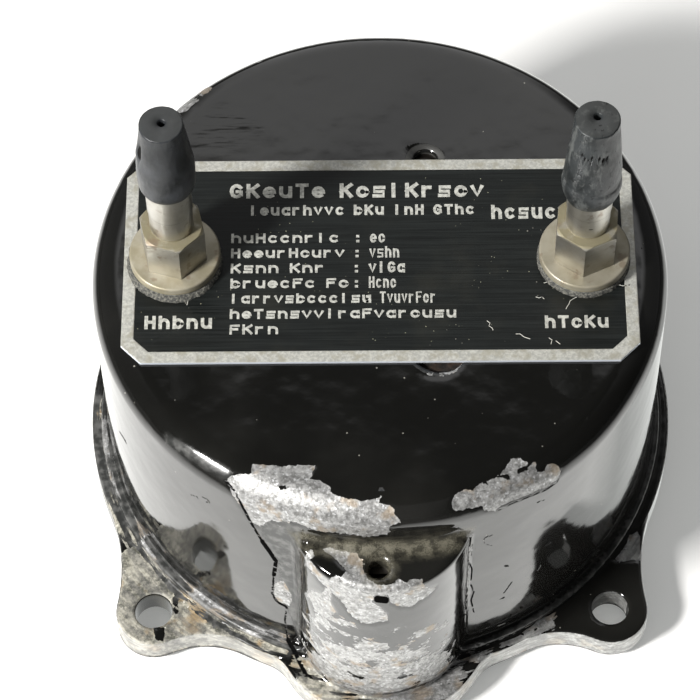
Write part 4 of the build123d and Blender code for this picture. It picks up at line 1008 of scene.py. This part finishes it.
def rubber_cap(name, node, body, x, section, shift, hole_shift, tears, material):
    """A cap turned from its section, with an uneven skin, a hole off the middle and small tears."""

    def torn(angle, height, radius, tear):
        tear_deg, tear_z, tear_w, tear_h, depth = tear
        off = math.remainder(angle - math.radians(tear_deg), 2 * math.pi) * radius / tear_w
        return depth * math.exp(-off * off - ((height - tear_z) / tear_h) ** 2)

    def uneven(spot, angle):
        radius = math.hypot(spot.x, spot.y)
        if radius < 1.0:
            return spot + Vector((hole_shift[0], hole_shift[1], 0))
        lump = noise.noise(spot * 0.35 + Vector(shift)) * 0.09
        lump += noise.noise(spot * 1.7 + Vector(shift)) * 0.03
        lump -= sum(torn(angle, spot.z, radius, tear) for tear in tears)
        swell = 1 + lump / radius if radius > cap_mouth_r * 0.85 else 1
        return Vector((spot.x * swell, spot.y * swell, spot.z))

    made = bmesh.new()
    lathe(made, x, section, uneven, 220)
    # The tear depth is kept with the mesh, and the rubber paints the tears' shade from it.
    layer = made.verts.layers.float.new("torn")
    for vert in made.verts:
        spot = Vector((vert.co.x - x, vert.co.y, vert.co.z)) / mm
        angle = math.atan2(spot.y, spot.x)
        vert[layer] = sum(max(torn(angle, spot.z, cap_mouth_r, tear), 0.0) for tear in tears)
    as_piece(made, name, body, "black_rubber", 50, material, node)


def aged_rubber(name, dark, bloom, scuffed, pits):
    """Old black rubber with a grey bloom, fine cracks and scuffs; painted light makes faces turned up
    lighter, and painted shade makes tears black.
    """
    material = new_material(name)
    cloud = close_up(240, 5.0)
    scuff = close_up(520, 7.0, (1.3, 1.3, 0.5), 0.72)
    shade = tint(grade(cloud, 0.35, 0.7), dark, bloom)
    shade = tint(grade(scuff, 0.50, 0.62, 0.0, scuffed), shade, (0.085, 0.09, 0.088))
    # Painted light: faces turned up are lighter, as if lit from above.
    painted_light_tilt = along("Z", add("NewGeometry").outputs["Normal"])
    shade = tint(grade(painted_light_tilt, 0.85, 1.0, 0.0, 0.5), shade, (0.060, 0.062, 0.060))
    pit_and_tear_shade = grade(close_up(1500, 3.0), 0.64, 0.68, 0.0, pits)
    # Painted shade: the inside of each tear is black, dark as the shadow in its cut.
    pit_and_tear_shade = larger(pit_and_tear_shade, grade(carried("torn"), 0.12, 0.18))
    shade = tint(pit_and_tear_shade, shade, (0.002, 0.002, 0.002))
    rough = plus(grade(scuff, 0.3, 0.7, 0.32, 0.48), times(pit_and_tear_shade, 0.4))
    normal = relief(scuff, 0.05 * mm)
    normal = relief(minus(1.0, pit_and_tear_shade), 0.12 * mm, normal)
    surface_of(shade, rough, 0.0, normal, 1.42)
    return material


left_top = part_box("left_rubber_cap")[1].z / mm
right_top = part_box("right_rubber_cap")[1].z / mm
left_skin = [
    (3.16, 65.45), (3.50, 65.55), (3.72, 66.2), (3.84, 67.3), (3.90, 68.8), (3.86, 70.2), (3.72, 71.8),
    (3.45, 74.0), (3.18, 76.2), (2.95, 78.0), (2.86, left_top - 0.3),
]
right_skin = [
    (3.16, 62.95), (3.42, 63.0), (3.68, 63.7), (3.90, 64.8), (3.98, 65.8), (3.92, 66.5), (3.78, 67.0),
    (3.76, 67.6), (3.78, 68.6), (3.68, 70.2), (3.52, 72.0), (3.30, 74.4), (3.12, 76.6), (3.0, 78.4),
    (2.96, right_top - 0.3),
]
left_tears = [(207, 74.7, 0.28, 1.2, 0.55), (196, 74.2, 0.5, 1.6, -0.25)]
right_tears = [
    (223, 74.6, 0.13, 0.25, 0.30), (233, 74.9, 0.14, 0.22, 0.40), (241, 74.4, 0.12, 0.30, 0.35),
    (250, 74.6, 0.18, 0.22, 0.45), (258, 75.1, 0.14, 0.35, 0.40), (267, 74.7, 0.22, 0.25, 0.50),
    (276, 75.0, 0.16, 0.35, 0.40), (286, 74.6, 0.26, 0.35, 0.50), (295, 74.7, 0.16, 0.40, 0.40),
    (256, 73.9, 0.10, 0.35, 0.25), (246, 73.5, 0.10, 0.30, 0.20), (271, 73.6, 0.10, 0.40, 0.22),
]
left_rubber = aged_rubber("rubber_dark", (0.012, 0.0135, 0.015), (0.033, 0.036, 0.041), 0.15, 0.0)
right_rubber = aged_rubber("rubber_grey", (0.011, 0.013, 0.0135), (0.034, 0.038, 0.040), 0.8, 0.5)
left_section = cap_section(left_skin, 2.86, left_top)
right_section = cap_section(right_skin, 2.96, right_top)
rubber_cap(
    "left_cap_rubber", "left_rubber_cap", "left_cap", -fitting_x, left_section, (3.1, 1.7, 0), (0.05, 0.15),
    left_tears, left_rubber,
)
rubber_cap(
    "right_cap_rubber", "right_rubber_cap", "right_cap", fitting_x, right_section, (6.2, 3.4, 0), (0.0, 0.40),
    right_tears, right_rubber,
)

# Dirt on the plate: an uneven crust of dried sealant squeezed out around the washers, some crumbs
# and a few threads of lint.


def on_level(across, down, level=plate_top_z):
    """Point of a level face, in millimetres, that the camera sees at a place of the photo."""
    ray = (right * (across - photo_px / 2) + up * (photo_px / 2 - down)) / focal_px - back
    spot = eye + ray * (level - eye.z) / ray.z
    return spot / mm


crust = bmesh.new()
for x, most, thickest_deg in ((-fitting_x, 0.50, 245), (fitting_x, 0.20, 235)):

    def squeezed(spot, angle, x=x, most=most, thickest_deg=thickest_deg):
        radius = math.hypot(spot.x, spot.y)
        wave = noise.noise(Vector((math.cos(angle), math.sin(angle), x)) * 4.5) * 0.35
        wave += noise.noise(Vector((math.cos(angle), math.sin(angle), x)) * 19) * 0.30
        share = 0.55 + 0.45 * math.cos(angle - math.radians(thickest_deg)) + wave
        reach = 1 + max(share, 0.02) * most * (radius > 6.05) * (radius - 6.0) / 0.3 / radius
        lump = noise.noise(spot * 3.5) * 0.06 * (radius > 6.02)
        return Vector((spot.x * reach, spot.y * reach, spot.z + lump))

    crust_section = [(6.0, 46.35), (6.0, 47.05), (6.1, 47.05), (6.2, 46.85), (6.3, 46.4), (6.25, 46.3)]
    lathe(crust, x, crust_section, squeezed, 240)
for across, down, size in (
    (187, 300, 0.20), (186, 303, 0.14), (537, 282, 0.10), (542, 297, 0.12), (538, 296, 0.10),
    (625, 286, 0.12), (629, 285, 0.10), (528, 231, 0.12), (643, 244, 0.12), (205, 292, 0.08),
    (217, 291, 0.08), (533, 228, 0.08), (541, 230, 0.07), (456, 339, 0.07), (462, 343, 0.07),
    (447, 330, 0.06), (430, 345, 0.06), (505, 341, 0.06),
):
    middle = on_level(across, down) * mm
    place = Matrix.Translation(middle)
    crumb = bmesh.ops.create_icosphere(crust, subdivisions=2, radius=size * mm, matrix=place)
    for vert in crumb["verts"]:
        vert.co += (vert.co - middle) * noise.noise(vert.co * 4000) * 0.9
fleck, soot, chalk = (3200, 4.0, None, 0.7), (0.035, 0.036, 0.034), (0.17, 0.165, 0.14)
dried_sealant = grained("dried_sealant", fleck, soot, chalk, 0.8, 0.12, (0.40, 0.66))
as_piece(crust, "sealant_crust", "case", "grey_fibre", 60, dried_sealant)

lint = bmesh.new()
threads = [
    spots(577, 297, 573, 299, 570, 301, 569, 304, 567, 307, 566, 309),
    spots(536, 297, 539, 298, 542, 297, 544, 299),
    spots(544, 283, 548, 282, 551, 283),
    spots(619, 285, 623, 286, 627, 285),
    spots(186, 298, 188, 301, 187, 305),
    spots(487, 321, 490, 323, 489, 326, 492, 328, 493, 330),
    spots(516, 334, 520, 334, 524, 337, 530, 339),
    spots(549, 338, 552, 340, 551, 344), spots(556, 341, 560, 344),
]
for thread in threads:
    print_stroke(lint, [tuple(on_level(*spot).xy * mm) for spot in thread], 0.065 * mm)
material = new_material("lint")
surface_of(tint(close_up(900), (0.45, 0.44, 0.38), (0.75, 0.75, 0.70)), 0.8)
as_piece(lint, "lint_threads", "case", "grey_fibre", 60, material)

# Glass side: screwed bezel ring in the same enamel, flat glass on a rubber gasket. It faces the table.
material = new_material("ring_enamel")
haze = close_up(400, 4.0)
chip = grade(close_up(900, 5.0), 0.66, 0.69)
shade = tint(chip, (0.008, 0.008, 0.0075), (0.60, 0.59, 0.56))
rough = plus(grade(haze, 0.3, 0.7, 0.12, 0.26), times(chip, 0.2))
surface_of(shade, rough, times(chip, 0.8), relief(haze, 0.02 * mm))
finish(material, "bezel_ring")
material = new_material("clear_glass")
smear = close_up(80, 4.0)
pane = surface_of((1.0, 1.0, 1.0), grade(smear, 0.3, 0.8, 0.0, 0.04))
pane.inputs["Transmission Weight"].default_value = 1.0
finish(material, "front_glass", "leak_capillary")
rubber_inside = aged_rubber("rubber_inside", (0.02, 0.02, 0.02), (0.04, 0.04, 0.04), 0.2, 0.0)
finish(rubber_inside, "glass_gasket", "spindle_seal")

# Dial: thin brass sheet in matt black, with printed pale marks and plain numbers, and a pale pointer.
dial_black = grained("dial_black", (3000, 3.0), (0.010, 0.010, 0.010), (0.022, 0.022, 0.021), 0.62, 0.01)
finish(dial_black, "dial")
dial_pale = grained("dial_pale", (350, 4.0), (0.72, 0.70, 0.58), (0.86, 0.85, 0.76), 0.55, 0.01)
finish(dial_pale, "dial_marks", "pointer")
dial_front_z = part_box("dial")[0].z
number_r = 24.0 * mm
for value in range(-5, 6):
    angle = math.radians(32 * value)
    digits = bpy.data.curves.new("number", "FONT")
    digits.body = str(abs(value))
    digits.size = 5.2 * mm
    digits.align_x = "CENTER"
    digits.align_y = "CENTER"
    digits.extrude = 0.03 * mm
    label = new_object(f"dial_number_{value + 5}", digits)
    spot = Vector((number_r * math.cos(angle), number_r * math.sin(angle), dial_front_z))
    label.matrix_world = Matrix.Translation(spot) @ Matrix.Rotation(math.pi, 4, "Y")
    digits.materials.append(dial_pale)
    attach(label, "case")

# Movement: plates, pillars, sector and levers of brass, arbors of steel, capsule of spring bronze.
brass = plain_metal("brass_plate", (0.72, 0.55, 0.26), (0.48, 0.35, 0.16), 0.30, 1.0, (1.0, 0.2, 1.0), 1200)
finish(brass, "front_plate", "bridge_plate", "base_plate", "gear_sector", "zero_lever", "link")
finish(brass, "rocker_brackets")
light, dull = (0.75, 0.58, 0.29), (0.50, 0.37, 0.17)
turned_brass = plain_metal("brass_turned", light, dull, 0.24, 1.0, (0.2, 0.2, 8.0), 300)
finish(turned_brass, "dial_posts", "bridge_pillars", "frame_pillars", "hairspring_collet", "capsule_hub")
finish(turned_brass, "capsule_stud", "capillary_sleeve", "spindle_bush", "zero_spindle")
bronze = plain_metal("spring_bronze", (0.66, 0.44, 0.26), (0.45, 0.28, 0.15), 0.28, 1.0, None, 500)
finish(bronze, "front_diaphragm", "rear_diaphragm", "pressure_pipe", "hairspring")
blued = plain_metal("blued_steel", (0.16, 0.17, 0.22), (0.08, 0.08, 0.10), 0.25)
finish(blued, "pointer_arbor", "rocking_shaft", "spindle_clip", "spring_stud", "lever_clip")
